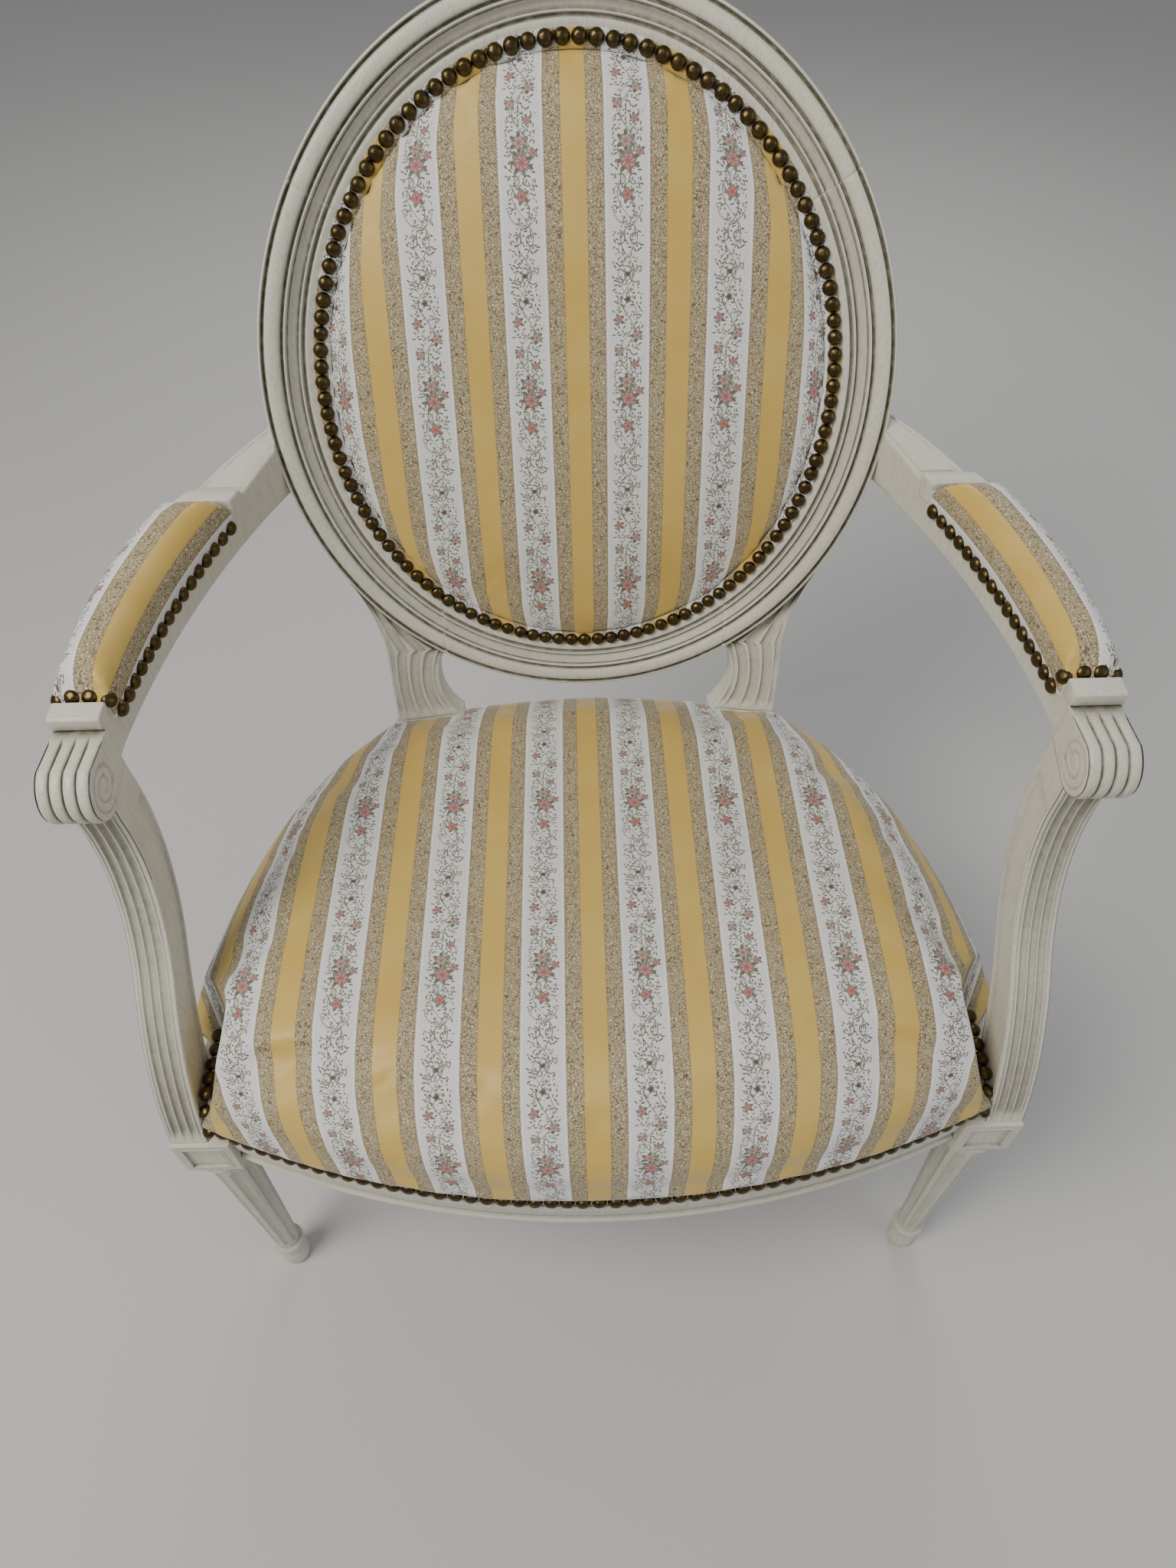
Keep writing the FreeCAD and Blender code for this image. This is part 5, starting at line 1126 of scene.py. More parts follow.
def make_support():
    """The swept support: three stopped flutes in front and a sunk panel on each side."""
    fronts, rears = support_line(SUPPORT_FRONT), support_line(SUPPORT_REAR)
    fronts.append(complex(88, 588))
    rears.append(complex(123, 588))
    columns = np.linspace(0, 1, 41)
    depths = np.linspace(0.02, 0.98, 33)
    rings = []
    last = len(fronts) - 1
    for index, (front, rear) in enumerate(zip(fronts, rears)):
        share = min(max((front.imag - BLOCK_HIGH) / (SCROLL_Z - BLOCK_HIGH), 0), 1)
        inner = SUPPORT_FOOT_X[0] + (SUPPORT_HEAD_X[0] - SUPPORT_FOOT_X[0]) * share
        outer = SUPPORT_FOOT_X[1] + (SUPPORT_HEAD_X[1] - SUPPORT_FOOT_X[1]) * share
        through = (rear - front) / abs(rear - front)
        opened = float(smoothstep(index / last / 0.035 - 0.3))
        grooves = bumps(columns, [0.27, 0.5, 0.73], 0.095, 2.7) * opened
        beads = bumps(columns, [0.115, 0.885], 0.03, 0.9) * opened
        ring = []
        for a, groove, bead in zip(columns, grooves, beads):
            x = inner + (outer - inner) * a
            edge = min(a, 1 - a) * (outer - inner)
            corner = 1.2 * max(0.0, 1 - edge / 1.2) ** 2
            spot = front + through * (groove + bead + corner)
            ring.append((x, spot.real, spot.imag))
        deep = abs(rear - front)
        panel = float(smoothstep((index / last - 0.07) / 0.02)
                      * smoothstep((0.93 - index / last) / 0.02))
        sides = []
        for w in depths:
            margin = min(w, 1 - w) * deep
            sunk = 1.6 * float(smoothstep((margin - 3.6) / 0.9)) * panel
            rim = 0.5 * math.exp(-((margin - 2.9) / 0.7) ** 2) * panel
            round_edge = 0.8 * max(0.0, 1 - margin / 1.0) ** 2
            sides.append((w, sunk - rim + round_edge))
        for w, sunk in sides:
            spot = front + through * (deep * w)
            ring.append((outer - sunk, spot.real, spot.imag))
        for w, sunk in sides[::-1]:
            spot = front + through * (deep * w)
            ring.append((inner + sunk, spot.real, spot.imag))
        rings.append(ring)
    support = Stock()
    support.loft(rings)
    return support


# Soft pieces

def dome(name, rings, top, bottom):
    """A closed shell from rings, listed from below upwards, with a pole at each end."""
    shell = Stock()
    shell.loft(rings, ends=False)
    count = len(rings[0])
    low, high = len(shell.points), len(shell.points) + 1
    shell.points += [bottom, top]
    last = (len(rings) - 1) * count
    for step in range(count):
        after = (step + 1) % count
        shell.faces.append((low, after, step))
        shell.faces.append((high, last + step, last + after))
    return shell.piece(name, 180)


def coordinates(piece):
    flat = np.zeros(len(piece.data.vertices) * 3)
    piece.data.vertices.foreach_get("co", flat)
    return flat.reshape(-1, 3)


def set_coordinates(piece, places):
    piece.data.vertices.foreach_set("co", np.asarray(places, float).ravel())
    piece.data.update()


def settle(piece):
    """Replaces a piece's mesh by the result of its modifiers, and clears them."""
    view = bpy.context.evaluated_depsgraph_get()
    done = bpy.data.meshes.new_from_object(piece.evaluated_get(view))
    piece.modifiers.clear()
    piece.data = done


PRESSURE = 4.0
CLOTH_QUALITY = 5
CLOTH_FRAMES = 20
# Size of the even mesh, and the most that a point may move, in metres
SEAT_STUFFING = (0.006, 0.008)
BACK_STUFFING = (0.005, 0.006)
PAD_STUFFING = (0.0035, 0.004)


def stuffed(piece, voxel, cap, held):
    """Remeshes a cushion and blows it up as cloth, held where a place says so."""
    remesh = piece.modifiers.new("even", "REMESH")
    remesh.mode = "VOXEL"
    remesh.voxel_size = voxel
    settle(piece)
    before = coordinates(piece)
    pins = piece.vertex_groups.new(name="nailed")
    fixed = [i for i, place in enumerate(before) if held(place)]
    pins.add(fixed, 1.0, "REPLACE")
    cloth = piece.modifiers.new("cloth", "CLOTH")
    cloth.settings.vertex_group_mass = "nailed"
    cloth.settings.use_pressure = True
    cloth.settings.uniform_pressure_force = PRESSURE
    cloth.settings.effector_weights.gravity = 0.0
    cloth.settings.quality = CLOTH_QUALITY
    cloth.point_cache.frame_start = 1
    cloth.point_cache.frame_end = CLOTH_FRAMES
    scene = bpy.context.scene
    for number in range(1, CLOTH_FRAMES + 1):
        scene.frame_set(number)
    view = bpy.context.evaluated_depsgraph_get()
    blown = bpy.data.meshes.new_from_object(piece.evaluated_get(view))
    after = np.array([v.co for v in blown.vertices])
    bpy.data.meshes.remove(blown)
    piece.modifiers.clear()
    piece.vertex_groups.clear()
    scene.frame_set(1)
    if after.shape == before.shape:
        move = after - before
        size = np.linalg.norm(move, axis=1, keepdims=True)
        move *= np.minimum(1.0, cap / np.maximum(size, 1e-9))
        set_coordinates(piece, before + move)
    smooth = piece.modifiers.new("smooth", "SUBSURF")
    smooth.levels = smooth.render_levels = 1
    settle(piece)
    piece.data.polygons.foreach_set("use_smooth", [True] * len(piece.data.polygons))


def pulled_by_nails(places, normals, heads, depth, reach):
    """Draws cloth in under each nail, so that it puckers between one head and the next."""
    tree = KDTree(len(heads))
    for index, (spot, _) in enumerate(heads):
        tree.insert(spot, index)
    tree.balance()
    moved = places.copy()
    for index, place in enumerate(places):
        _, _, distance = tree.find(place)
        if distance < 3 * reach:
            moved[index] -= normals[index] * depth * math.exp(-((distance / reach) ** 2))
    return moved


def cloth_map(piece, flat_of):
    """Writes the cloth's flat place, in metres across and along the stripes, as its UV map."""
    mesh = piece.data
    layer = mesh.uv_layers.get("cloth") or mesh.uv_layers.new(name="cloth")
    flat = np.array([flat_of(v.co) for v in mesh.vertices])
    corners = np.zeros(len(mesh.loops), int)
    mesh.loops.foreach_get("vertex_index", corners)
    layer.data.foreach_set("uv", flat[corners].ravel())


def normals_of(piece):
    return np.array([v.normal for v in piece.data.vertices])


def meeting(first, first_radius, second, second_radius, near):
    """The crossing of two circles of a plane that lies nearest a point."""
    between = second - first
    apart = abs(between)
    along = (apart ** 2 + first_radius ** 2 - second_radius ** 2) / (2 * apart)
    across = math.sqrt(first_radius ** 2 - along ** 2)
    between /= apart
    options = [first + between * along + side * between * across for side in (1j, -1j)]
    return min(options, key=lambda point: abs(point - near))


def toward(circle, point):
    centre, radius = circle
    return centre + (point - centre) / abs(point - centre) * radius


OUTLINE_COUNTS = {"front": 54, "corner": 9, "fore": 34, "aft": 24, "rear": 34}


def seat_outline(offset, corner):
    """The seat plan grown by an offset, with rounded corners, as points in order."""
    front, fore, aft, rear = [(centre, radius + offset) for centre, radius in (
        (FRONT_CENTRE, FRONT_BOW), FORE, AFT, (REAR_CENTRE, REAR_BOW))]
    fore_corner = meeting(front[0], front[1] - corner, fore[0], fore[1] - corner, SIDE_START)
    rear_corner = meeting(aft[0], aft[1] - corner, rear[0], rear[1] - corner, SIDE_END)
    a, b = toward(front, fore_corner), toward(fore, fore_corner)
    c, d, e = toward(fore, SIDE_JOINT), toward(aft, rear_corner), toward(rear, rear_corner)
    counts = OUTLINE_COUNTS
    right = []
    for circle, start, end, count in (
            ((fore_corner, corner), a, b, counts["corner"]), (fore, b, c, counts["fore"]),
            (aft, c, d, counts["aft"]), ((rear_corner, corner), d, e, counts["corner"])):
        right += [point for point, _ in along_circle(circle, start, end, count)][:-1]
    back = [p for p, _ in along_circle(rear, e, -e.conjugate(), counts["rear"])][:-1]
    left = [-p.conjugate() for p in right + [e]][::-1][:-1]
    bow = [p for p, _ in along_circle(front, -a.conjugate(), a, counts["front"])][:-1]
    return right + back + left + bow


SEAT_MIDDLE = complex(0, 150)
# Levels of the stuffed seat: height, offset from the rails, corner radius, fall to the rear
SEAT_LEVELS = (
    (332.3, -4.5, 6.0, 0.0), (337.0, 2.5, 10.0, 0.0), (345.0, 6.0, 16.0, 0.0),
    (355.0, 8.2, 22.0, 0.1), (366.0, 8.2, 27.0, 0.4), (377.0, 3.6, 33.0, 0.7),
    (387.0, -6.5, 40.0, 1.0), (396.0, -25.0, 46.0, 1.3), (403.0, -52.0, 50.0, 1.6),
    (408.0, -87.0, 48.0, 1.8),
)
SEAT_UNDER = ((366.0, -84.0, 30.0, 0.0), (358.0, -40.0, 26.0, 0.0), (336.0, -16.0, 14.0, 0.0))
SEAT_TOP = 411.5
SEAT_EDGE_TOP = 408.0
SEAT_HELD_BELOW = 0.342
TILT_MIDDLE_Y = 160.0
STRIPE_EXTRA = ((332.0, 74.0), (345.0, 60.5), (355.0, 50.5), (366.0, 38.5), (377.0, 28.0),
                (387.0, 16.0), (396.0, 6.0), (404.0, 1.0), (412.0, 0.0))


def seat_ring(level):
    z, offset, corner, tilt = level
    fall = math.tan(math.radians(tilt))
    return [(p.real, p.imag, z - (p.imag - TILT_MIDDLE_Y) * fall)
            for p in seat_outline(offset, corner)]


def between(levels, steps):
    """Levels with further ones between them on a smooth curve."""
    table = np.array(levels, float)
    rows = []
    for index in range(len(table) - 1):
        before = table[max(index - 1, 0)]
        here, there = table[index], table[index + 1]
        beyond = table[min(index + 2, len(table) - 1)]
        for k in range(steps):
            t = k / steps
            rows.append(0.5 * (2 * here + (there - before) * t
                               + (2 * before - 5 * here + 4 * there - beyond) * t * t
                               + (3 * here - before - 3 * there + beyond) * t ** 3))
    rows.append(table[-1])
    return [tuple(row) for row in rows]


NOTCH_LINE_Z = (327.0, 345.0, 351.0, 360.0, 385.0, 425.0)
NOTCH_LINE_X = (279.6, 278.0, 271.0, 268.0, 261.0, 252.0)
NOTCH_OPENS = 42.0
# Height, and how far back the notch has opened there
NOTCH_OPEN_BY = ((335.0, 365.0), (84.0, 135.0))
NOTCH_OPENING = 52.0
STILE_SPAN = (110.0, 166.0)
LEG_CLEARANCE = 24.0
SEAT_OUTLINE = seat_outline(0.0, 6.0)


def clear_of_wood(places):
    """Draws the seat in beside the arm supports and in front of the stiles."""
    moved = places.copy()
    for row, (x, y, z) in enumerate((places - [0, LEGS_Y, 0]) / MM):
        side = math.copysign(1, x)
        x = abs(x)
        wall = float(np.interp(z, NOTCH_LINE_Z, NOTCH_LINE_X))
        opened = (y - NOTCH_OPENS) / (float(np.interp(z, *NOTCH_OPEN_BY)) - NOTCH_OPENS)
        wall += NOTCH_OPENING * float(smoothstep(opened))
        if opened < 1 and x > wall and z > 325.0:
            x = wall
        across, up, height = off_back((x, y, z))
        if STILE_SPAN[0] < across < STILE_SPAN[1] and -FRAME_DEPTH - 12 < height < STILE_FACE + 1:
            front = on_back(across, up, 1.0)
            y = min(y, front[1])
        moved[row] = placed([(side * x, y, z)])[0]
    return moved


OUTLINE_TREE = KDTree(len(SEAT_OUTLINE))
for index, point in enumerate(SEAT_OUTLINE):
    OUTLINE_TREE.insert((point.real, point.imag, 0), index)
OUTLINE_TREE.balance()


def seat_cloth(place):
    """Flat place of the seat cover: over the edge, the cloth runs straight down and out."""
    x, y, z = place.x / MM, (place.y - LEGS_Y) / MM, place.z / MM
    extra = float(np.interp(z, [p[0] for p in STRIPE_EXTRA], [p[1] for p in STRIPE_EXTRA]))
    _, index, _ = OUTLINE_TREE.find((x, y, 0))
    count = len(SEAT_OUTLINE)
    along = SEAT_OUTLINE[(index + 1) % count] - SEAT_OUTLINE[index - 1]
    outward = -1j * along / abs(along)
    return (x + outward.real * extra) * MM, (y + outward.imag * extra) * MM


def make_seat():
    rings = [seat_ring(level) for level in SEAT_UNDER]
    rings += [seat_ring(level) for level in between(SEAT_LEVELS, 3)]
    edge = rings[-1]
    for share in (0.75, 0.5, 0.25, 0.1):
        rise = (SEAT_TOP - SEAT_EDGE_TOP) * (1 - share ** 2)
        rings.append([(x * share, SEAT_MIDDLE.imag + (y - SEAT_MIDDLE.imag) * share,
                       SEAT_EDGE_TOP + rise + (z - SEAT_EDGE_TOP) * share)
                      for x, y, z in edge])
    seat = dome("stuffed_seat", rings, (0, SEAT_MIDDLE.imag, SEAT_TOP),
                (0, SEAT_MIDDLE.imag, 368.0))
    stuffed(seat, *SEAT_STUFFING, lambda place: place[2] < SEAT_HELD_BELOW)
    set_coordinates(seat, clear_of_wood(coordinates(seat)))
    return seat


# Skirt of the seat cover under its nails: (behind the outer face, height) of its section
SKIRT = ((1.6, 317.2), (1.5, 325.0), (1.7, 334.0), (2.6, 338.0), (3.1, 334.0), (2.9, 317.2))


def make_skirt():
    rings = []
    for behind, z in SKIRT:
        rings.append([(p.real, p.imag, z) for p in seat_outline(-behind, 6.0)])
    skirt = Stock()
    rings.append(rings[0])
    skirt.loft(rings, ends=False)
    piece = skirt.piece("skirt", 180)
    places = coordinates(piece)
    set_coordinates(piece, clear_of_wood(places))
    return piece


# Black cloth tacked under the rails: inset from their faces, height and sag
DUST_INSET = 14.0
DUST_Z = 279.5
DUST_SAG = 5.0
DUST_FRONT_X = 264.0
DUST_BACK_Y = 308.0


def make_dust_cover():
    """The lining cloth under the seat, cut out round the legs and sagging a little."""
    edge = []
    for point in seat_outline(-DUST_INSET, 4.0):
        x, y = abs(point.real), point.imag
        if y < LEG_CLEARANCE:
            x = min(x, DUST_FRONT_X)
        if x > BACK_LEG[0] - LEG_CLEARANCE:
            y = min(y, DUST_BACK_Y)
        edge.append((math.copysign(x, point.real), y))
    cloth = Stock()
    rings = []
    for share in (1.0, 0.96, 0.88, 0.75, 0.6, 0.42, 0.24, 0.08):
        z = DUST_Z - DUST_SAG * (1 - share ** 3)
        rings.append([(x * share, SEAT_MIDDLE.imag + (y - SEAT_MIDDLE.imag) * share, z)
                      for x, y in edge])
    cloth.loft(rings, ends=False)
    cloth.points.append((0, SEAT_MIDDLE.imag, DUST_Z - DUST_SAG))
    count, last = len(edge), (len(rings) - 1) * len(edge)
    for step in range(count):
        cloth.faces.append((last + step, last + (step + 1) % count, len(cloth.points) - 1))
    piece = cloth.piece("black_dust_cloth", 180)
    if piece.data.polygons[0].normal.z > 0:
        piece.data.flip_normals()
    return piece


BACK_CROWN = 34.0
BACK_RISE = 24.0


def back_ring(offset, bulge, flat_back=False):
    ring = []
    for step in range(120):
        angle = 2 * math.pi * step / 120
        x, z = oval_at(angle, offset)
        if flat_back:
            height = bulge
        else:
            hollow = HOLLOW_RADIUS - math.sqrt(HOLLOW_RADIUS ** 2 - x * x)
            full = BACK_CROWN - BACK_RISE * ((z - OVAL_HIGH) / OVAL_HIGH) ** 2 - hollow
            height = bulge * max(full, 6.0)
        ring.append(on_back(x, z, height))
    return ring


def make_back():
    rings = [back_ring(-110.0, -1.0, True), back_ring(-60.0, -1.0, True),
             back_ring(-8.0, -1.0, True), back_ring(-4.0, 0.4, True)]
    for offset, share in ((-3.6, 0.1), (-5.2, 0.3), (-8.0, 0.48), (-12.5, 0.63), (-20.0, 0.76),
                          (-32.0, 0.86), (-52.0, 0.94), (-80.0, 0.985), (-115.0, 1.0),
                          (-150.0, 1.0), (-175.0, 1.0)):
        rings.append(back_ring(offset, share))
    top = on_back(0, OVAL_HIGH, BACK_CROWN)
    back = dome("stuffed_back", rings, top, on_back(0, OVAL_HIGH, -1.0))
    edge_nails = lambda place: off_back((place[0] / MM, (place[1] - LEGS_Y) / MM,
                                         place[2] / MM))[2] < 2.5
    stuffed(back, *BACK_STUFFING, edge_nails)
    return back


def back_cloth(place):
    x, z, _ = off_back((place.x / MM, (place.y - LEGS_Y) / MM, place.z / MM))
    out = math.hypot(x / OVAL_WIDE, (z - OVAL_HIGH) / OVAL_HIGH)
    drop = 14.0 * float(smoothstep((out - 0.86) / 0.16))
    away = complex(x, z - OVAL_HIGH)
    away = away / max(abs(away), 1.0)
    return (x + away.real * drop) * MM, (z + away.imag * drop) * MM


def make_back_rim():
    """The flat edge of the back cover, out under the nails."""
    rim = Stock()
    rings = []
    for offset, height in ((-7.0, 0.5), (-7.0, 2.6), (0.0, 1.5), (4.6, 1.4), (5.3, 1.0),
                           (5.3, 0.4)):
        rings.append([on_back(*oval_at(2 * math.pi * k / 180, offset), height)
                      for k in range(180)])
    rings.append(rings[0])
    rim.loft(rings, ends=False)
    return rim.piece("rim", 180)


def make_rear_panel():
    """The cover at the back of the oval, over a thin layer of wadding."""
    rings = []
    for offset, height in ((-60.0, -27.6), (-10.0, -27.7), (-4.0, -28.3), (-3.2, -29.6),
                           (-5.0, -31.0), (-12.0, -32.2), (-40.0, -33.0), (-110.0, -33.5),
                           (-170.0, -33.6)):
        rings.append([on_back(*oval_at(2 * math.pi * k / 160, offset), height)
                      for k in range(160)])
    return dome("rear_panel_of_back", rings, on_back(0, OVAL_HIGH, -33.6),
                on_back(0, OVAL_HIGH, -27.6))


# Arm pads: rise above the arm, inset at the sides and at the ends
PAD_LEVELS = ((-15.0, -0.8, 1.2), (-11.0, -1.4, 1.0), (-4.0, -2.0, 1.0), (2.0, -1.6, 1.8),
              (8.0, -0.4, 7.0), (13.5, 2.6, 11.0), (18.0, 6.8, 17.0), (21.0, 11.5, 28.0))
PAD_NAIL_DROP = 11.0
PAD_NAIL_LINE = (140.5, 307.0)
PAD_NAILS_ALONG = 16
PAD_BASE = 618.0
PAD_HELD_BELOW = PAD_BASE * MM + 0.004
PAD_SLOPE = math.atan2(5.0, REAR_CAP[0] - ARM_CAP[1])


def pad_ring(level, side):
    rise, side_inset, end_inset = level
    low, high = ARM_CAP[1] + end_inset, REAR_CAP[0] - end_inset
    outer = (ARM_OUTER[0], ARM_OUTER[1] - side_inset)
    inner = (ARM_INNER[0], ARM_INNER[1] + side_inset)
    ys = np.linspace(low, high, 60)
    path = [(arm_x(outer, 0, y), y) for y in ys] + [(arm_x(inner, 0, y), y) for y in ys[::-1]]
    return [(side * x, y, PAD_BASE + (y - ARM_CAP[1]) * math.tan(PAD_SLOPE) + rise)
            for x, y in path]


def pad_axis(y):
    return (arm_x(ARM_OUTER, 0, y) + arm_x(ARM_INNER, 0, y)) / 2


def make_arm_pad(side_name):
    side = SIDES[side_name]
    rings = [pad_ring(level, side) for level in between(PAD_LEVELS, 2)]
    middle_y = (ARM_CAP[1] + REAR_CAP[0]) / 2
    top = rings[-1]
    crown = []
    for x, y, z in top:
        centre = side * pad_axis(y)
        crown.append((centre + (x - centre) * 0.45, middle_y + (y - middle_y) * 0.93, z + 1.2))
    rings.append(crown)
    shell = Stock()
    shell.loft(rings, ends=False)
    count = len(top)
    half = count // 2
    for first in (0, (len(rings) - 1) * count):
        for step in range(half - 1):
            shell.faces.append((first + step, first + step + 1,
                                first + count - 2 - step, first + count - 1 - step))
    pad = shell.piece(f"stuffed_arm_pad_{side_name}", 180)
    stuffed(pad, *PAD_STUFFING, lambda place: place[2] < PAD_HELD_BELOW)
    return pad


PAD_STRIPE_SHIFT = 17.0


def pad_nails():
    """Nails round the arm pads: along both side faces of each arm, and across its ends."""
    found = []
    for side in SIDES.values():
        for circle, half, sign in ((ARM_OUTER, ARM_HALF, 1), (ARM_INNER, -ARM_HALF, -1)):
            for y in np.linspace(*PAD_NAIL_LINE, PAD_NAILS_ALONG):
                x = arm_x(circle, half, y)
                away = (complex(x, y) - circle[0]) * sign
                z = on_line(ARM_TOP_LINE, y) - PAD_NAIL_DROP
                spot = placed([(side * (x + 1.2 * sign), y, z)])[0]
                found.append((Vector(spot), Vector((side * away.real, away.imag,
                                                    0.1 * abs(away))).normalized()))
        for y, lean in ((136.9, -0.6), (311.0, 0.6)):
            for across in (-14.9, -5.2, 5.2, 14.9):
                corner = abs(across) > 10
                z = on_line(ARM_TOP_LINE, y) + (0.5 if corner else 3.6)
                spot = placed([(side * (pad_axis(y) + across), y, z)])[0]
                found.append((Vector(spot), Vector((side * across * 0.05 * corner, lean,
                                                    0.8)).normalized()))
    return found


def beside_support(places):
    """The seat's nails, with those beside an arm support set up against its inner face."""
    moved = []
    for spot, facing in places:
        x, y, z = spot.x / MM, (spot.y - LEGS_Y) / MM, spot.z / MM
        if z > SUPPORT_NAILS_ABOVE:
            side = math.copysign(1, x)
            place = [float(np.interp(y, SUPPORT_NAILS[0], row)) for row in SUPPORT_NAILS[1:]]
            spot = Vector(placed([(side * place[0], place[1], place[2])])[0])
            facing = Vector((side * 0.45, -0.25 if y < 5 else 0.0, 0.86)).normalized()
        moved.append((spot, facing))
    return moved


def pad_cloth(side):
    def flat_of(place):
        x, y, z = side * place.x / MM, (place.y - LEGS_Y) / MM, place.z / MM
        y_in = min(max(y, ARM_CAP[1]), REAR_CAP[0])
        base = PAD_BASE + (y_in - ARM_CAP[1]) * math.tan(PAD_SLOPE)
        across = x - pad_axis(y_in)
        drop = max(0.0, 17.0 - (z - base)) * float(smoothstep((abs(across) - 8.0) / 7.0))
        across += math.copysign(drop * 0.8, across)
        return side * (across + PAD_STRIPE_SHIFT) * MM, y * MM
    return flat_of


# Upholstery nails, by Geometry Nodes on the places of the frame's nails

SUPPORT_NAILS_ABOVE = 330.0
# Place along the row as it was, then x, y and z beside the support
SUPPORT_NAILS = ((-10.0, 1.0, 12.0, 56.0), (275.6, 278.0, 277.6, 277.2),
                 (-15.5, -5.5, 5.5, 49.5), (333.5, 343.5, 350.0, 351.0))

NAIL_NODES = ("seat_front_nails", "seat_side_nails", "seat_rear_nails", "back_front_nails",
              "back_rear_nails", "arm_pad_nails")
NAIL_RADIUS = 5.45
NAIL_HEIGHT = 4.3
NAIL_ROUND = 14
# Half section of a head as (share of the radius, share of the height)
NAIL_SECTION = ((0.0, 0.05), (0.93, 0.0), (1.0, 0.1), (0.94, 0.42), (0.78, 0.72), (0.52, 0.92),
                (0.25, 0.99), (0.0, 1.0))


def nail_places(name):
    """Middle of the foot and direction of each nail of a frame node."""
    work = bmesh.new()
    work.from_mesh(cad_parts[name].data)
    bmesh.ops.remove_doubles(work, verts=work.verts, dist=1e-6)
    work.faces.ensure_lookup_table()
    seen = set()
    found = []
    for face in work.faces:
        if face.index in seen:
            continue
        island, queue = [], [face]
        seen.add(face.index)
        while queue:
            here = queue.pop()
            island.append(here)
            for edge in here.edges:
                for other in edge.link_faces:
                    if other.index not in seen:
                        seen.add(other.index)
                        queue.append(other)
        groups = {}
        for part in island:
            key = tuple(round(c, 2) for c in part.normal)
            groups.setdefault(key, []).append(part)
        base = max(groups.values(), key=lambda parts: sum(p.calc_area() for p in parts))
        area = sum(p.calc_area() for p in base)
        middle = sum((p.calc_center_median() * p.calc_area() for p in base), Vector()) / area
        normal = sum((p.normal * p.calc_area() for p in base), Vector()).normalized()
        found.append((middle, -normal))
    work.free()
    return found


def nail_head():
    """The head that is repeated: a low dome of a few dozen faces on the z axis."""
    head = Stock()
    rings = []
    for share, rise in NAIL_SECTION[1:-1]:
        rings.append([(share * math.cos(2 * math.pi * k / NAIL_ROUND),
                       share * math.sin(2 * math.pi * k / NAIL_ROUND), rise)
                      for k in range(NAIL_ROUND)])
    head.loft(rings)
    mesh = bpy.data.meshes.new("nail_head")
    mesh.from_pydata(head.points, [], head.faces)
    mesh.polygons.foreach_set("use_smooth", [True] * len(mesh.polygons))
    piece = bpy.data.objects.new("nail_head", mesh)
    shaded(piece, 60)
    return piece


def nail_tree(head):
    """Sets a head on each point, along its facing, a little uneven in size and angle."""
    tree = bpy.data.node_groups.new("upholstery_nails", "GeometryNodeTree")
    face = tree.interface
    face.new_socket("Geometry", in_out="INPUT", socket_type="NodeSocketGeometry")
    for name, value in (("Radius", NAIL_RADIUS * MM), ("Height", NAIL_HEIGHT * MM)):
        socket = face.new_socket(name, in_out="INPUT", socket_type="NodeSocketFloat")
        socket.default_value = value
    face.new_socket("Seed", in_out="INPUT", socket_type="NodeSocketInt")
    face.new_socket("Finish", in_out="INPUT", socket_type="NodeSocketMaterial")
    face.new_socket("Geometry", in_out="OUTPUT", socket_type="NodeSocketGeometry")
    given = node(tree, "NodeGroupInput")
    shape = node(tree, "GeometryNodeObjectInfo")
    shape.inputs["Object"].default_value = head
    facing = node(tree, "GeometryNodeInputNamedAttribute", data_type="FLOAT_VECTOR")
    facing.inputs["Name"].default_value = "facing"
    turn = node(tree, "FunctionNodeAlignRotationToVector", {"Vector": facing.outputs[0]}, axis="Z")
    tilt = node(tree, "FunctionNodeRandomValue", {"Min": (-0.09, -0.09, 0.0),
                                                  "Max": (0.09, 0.09, 6.28),
                                                  "Seed": given.outputs["Seed"]},
                data_type="FLOAT_VECTOR")
    tilt_turn = node(tree, "FunctionNodeEulerToRotation", [tilt.outputs[0]])
    both = node(tree, "FunctionNodeRotateRotation", [turn, tilt_turn], rotation_space="LOCAL")
    size = node(tree, "FunctionNodeRandomValue", {2: 0.95, 3: 1.02, "Seed": given.outputs["Seed"]},
                data_type="FLOAT")
    full = node(tree, "CombineXYZ", [given.outputs["Radius"], given.outputs["Radius"],
                                     given.outputs["Height"]])
    scale = node(tree, "VectorMath", {0: full, "Scale": size.outputs[1]}, operation="SCALE")
    points = node(tree, "GeometryNodeMeshToPoints", [given.outputs["Geometry"]])
    heads = node(tree, "GeometryNodeInstanceOnPoints",
                 {"Points": points, "Instance": shape.outputs["Geometry"], "Rotation": both,
                  "Scale": scale})
    real = node(tree, "GeometryNodeRealizeInstances", [heads])
    finished = node(tree, "GeometryNodeSetMaterial", {"Geometry": real,
                                                      "Material": given.outputs["Finish"]})
    node(tree, "NodeGroupOutput", [finished])
    return tree


def make_nails(name, places, tree, finish, seed):
    mesh = bpy.data.meshes.new(name)
    mesh.from_pydata([spot for spot, _ in places], [], [])
    facing = mesh.attributes.new("facing", "FLOAT_VECTOR", "POINT")
    facing.data.foreach_set("vector", np.array([n for _, n in places], float).ravel())
    piece = bpy.data.objects.new(f"{name}_bronze", mesh)
    bpy.context.scene.collection.objects.link(piece)
    modifier = piece.modifiers.new("nails", "NODES")
    modifier.node_group = tree
    sockets = {item.name: item.identifier for item in tree.interface.items_tree
               if item.in_out == "INPUT"}
    modifier[sockets["Seed"]] = seed
    modifier[sockets["Finish"]] = finish
    settle(piece)
    return piece


# Putting the chair together

make_camera()
make_studio()

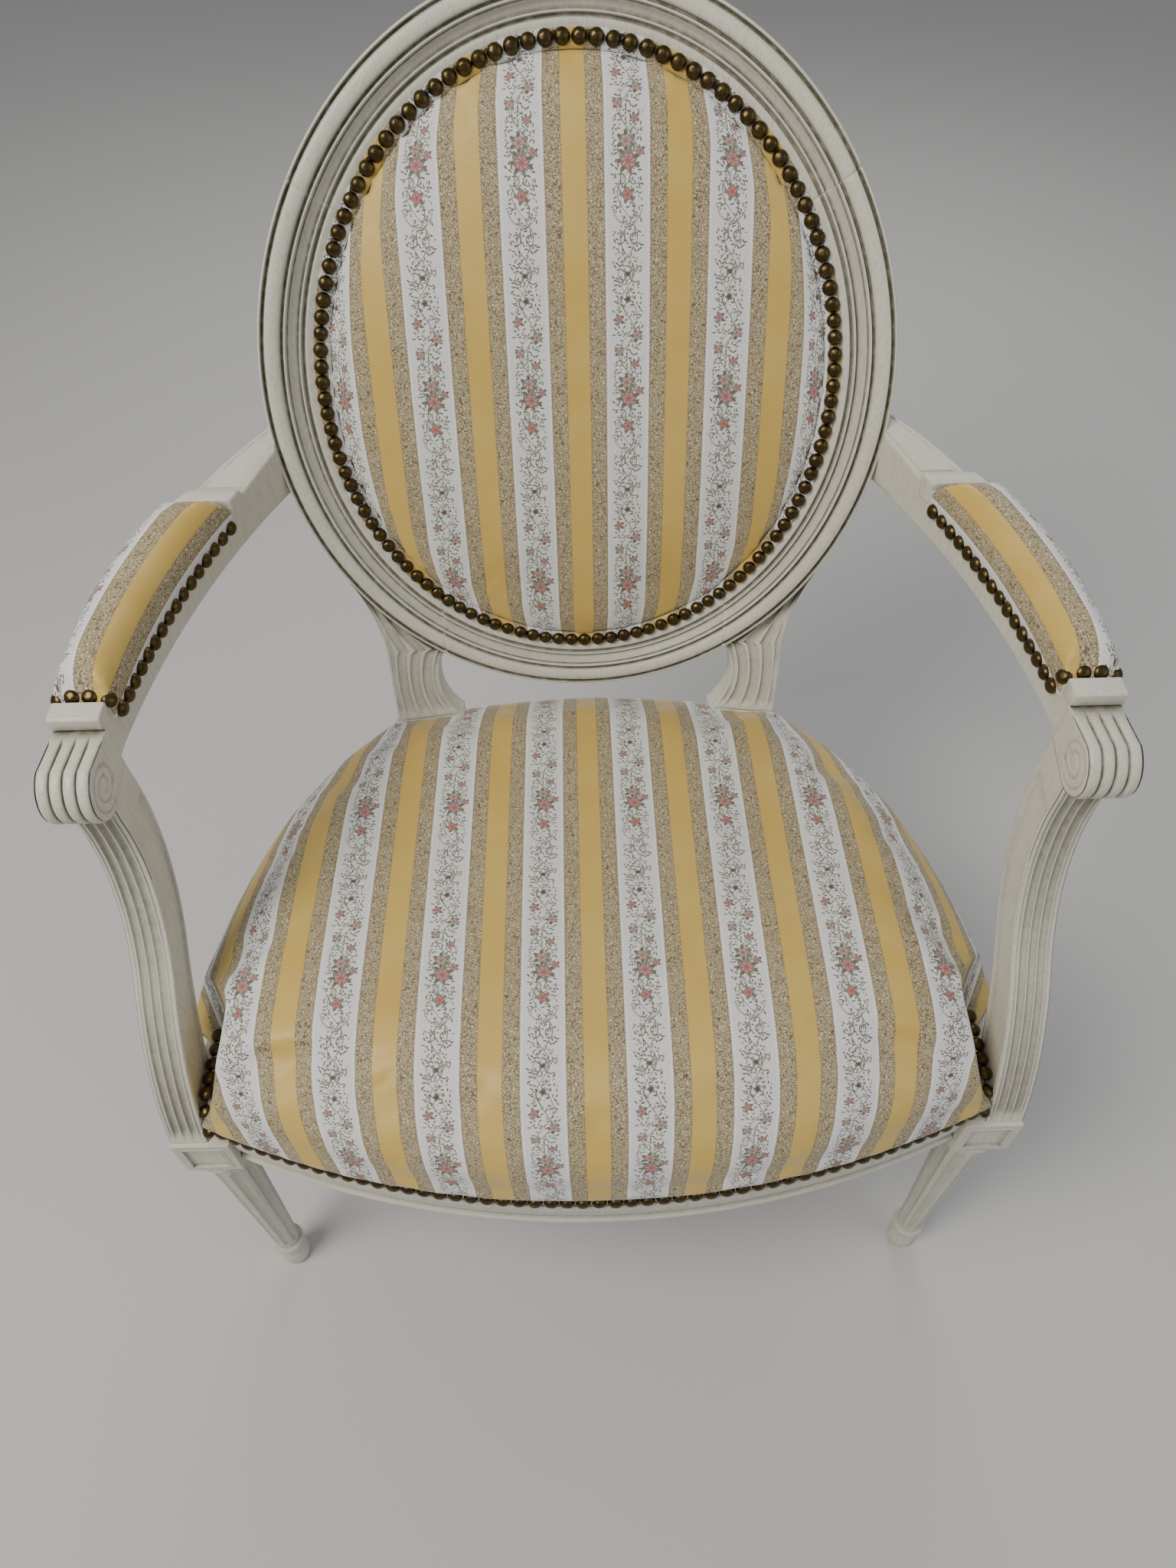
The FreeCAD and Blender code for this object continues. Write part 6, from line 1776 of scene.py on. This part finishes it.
paint = painted_wood()
cover = woven_cover()
bronze = antique_nail()
beech = bare_beech()
jute = plain_weave("jute_webbing", 1.6, "#b0925f", "#9c7f50", "#4d3c25", 0.9)
hessian = plain_weave("hessian", 1.4, "#a88a5c", "#9b7c50", "#3f3120", 0.92)
black_cloth = plain_weave("black_lining_cloth", 0.9, "#1d1d1f", "#17171a", "#060607", 0.85)
steel = drawn_steel("turned_steel", "#7f8083", "#9a9b9d", 0.35)
spring_steel = drawn_steel("drawn_spring_steel", "#4a4846", "#6b6864", 0.42)


def stands_for(piece, finish, slot_name, *nodes):
    if not piece.data.materials:
        piece.data.materials.append(finish)
    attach(piece, "root")
    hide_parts(*nodes)


def joined(main, *others):
    """Joins meshes into one piece."""
    work = bmesh.new()
    for piece in (main, *others):
        work.from_mesh(piece.data)
    mesh = bpy.data.meshes.new(main.name)
    work.to_mesh(mesh)
    work.free()
    for piece in others:
        bpy.data.objects.remove(piece)
    main.data = mesh
    mesh.polygons.foreach_set("use_smooth", [True] * len(mesh.polygons))


top_rail, bottom_rail = make_back_rails()
stands_for(top_rail, paint, "painted_wood", "back_top_rail")
stands_for(bottom_rail, paint, "painted_wood", "back_bottom_rail")

front_rail, back_rail, side_rail = make_rails()
stands_for(front_rail.piece("moulded_front_rail"), paint, "painted_wood", "front_rail")
stands_for(back_rail.piece("moulded_back_rail"), paint, "painted_wood", "back_rail")

pairs = (("moulded_side_rail", side_rail, "side_rail"),
         ("turned_front_leg", make_front_leg(), "front_leg"),
         ("carved_back_leg", make_back_leg(), "back_leg"),
         ("carved_arm", make_arm(), "arm"),
         ("fluted_arm_support", make_support(), "arm_support"))
for name, stock, node_name in pairs:
    for side_name, side in SIDES.items():
        shape = stock if side > 0 else stock.mirror()
        stands_for(shape.piece(f"{name}_{side_name}"), paint, "painted_wood",
                   f"{node_name}_{side_name}")

nails = {name: nail_places(name) for name in NAIL_NODES}
nails["seat_front_nails"] = beside_support(nails["seat_front_nails"])
nails["arm_pad_nails"] = pad_nails()
tree = nail_tree(nail_head())
for seed, (name, places) in enumerate(nails.items()):
    piece = make_nails(name, places, tree, bronze, seed)
    stands_for(piece, bronze, "nails", name)

seat_heads = nails["seat_front_nails"] + nails["seat_side_nails"] + nails["seat_rear_nails"]
seat = make_seat()
joined(seat, make_skirt())
set_coordinates(seat, pulled_by_nails(coordinates(seat), normals_of(seat), seat_heads,
                                      1.6 * MM, 6.5 * MM))
cloth_map(seat, seat_cloth)
stands_for(seat, cover, "striped_fabric", "seat_cover", "seat_padding")

back = make_back()
joined(back, make_back_rim())
set_coordinates(back, pulled_by_nails(coordinates(back), normals_of(back),
                                      nails["back_front_nails"], 1.2 * MM, 6.0 * MM))
cloth_map(back, back_cloth)
stands_for(back, cover, "striped_fabric", "back_cover", "back_padding")

rear = make_rear_panel()
cloth_map(rear, back_cloth)
stands_for(rear, cover, "striped_fabric", "back_rear_cover")

for side_name, side in SIDES.items():
    pad = make_arm_pad(side_name)
    cloth_map(pad, pad_cloth(side))
    stands_for(pad, cover, "striped_fabric", f"arm_pad_{side_name}", f"arm_pad_cover_{side_name}")

dust = make_dust_cover()
stands_for(dust, black_cloth, "black_cloth", "dust_cover")
dust_places = coordinates(dust)

CARRIED_OVER = {
    "arm_dowels": beech, "back_frame_dowels": beech, "corner_blocks": beech,
    "corner_screws": steel, "foot_glides": steel, "seat_springs": spring_steel,
    "seat_webbing": jute, "back_webbing": jute, "spring_hessian": hessian,
}
for name, finish in CARRIED_OVER.items():
    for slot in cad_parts[name].material_slots:
        slot.material = finish
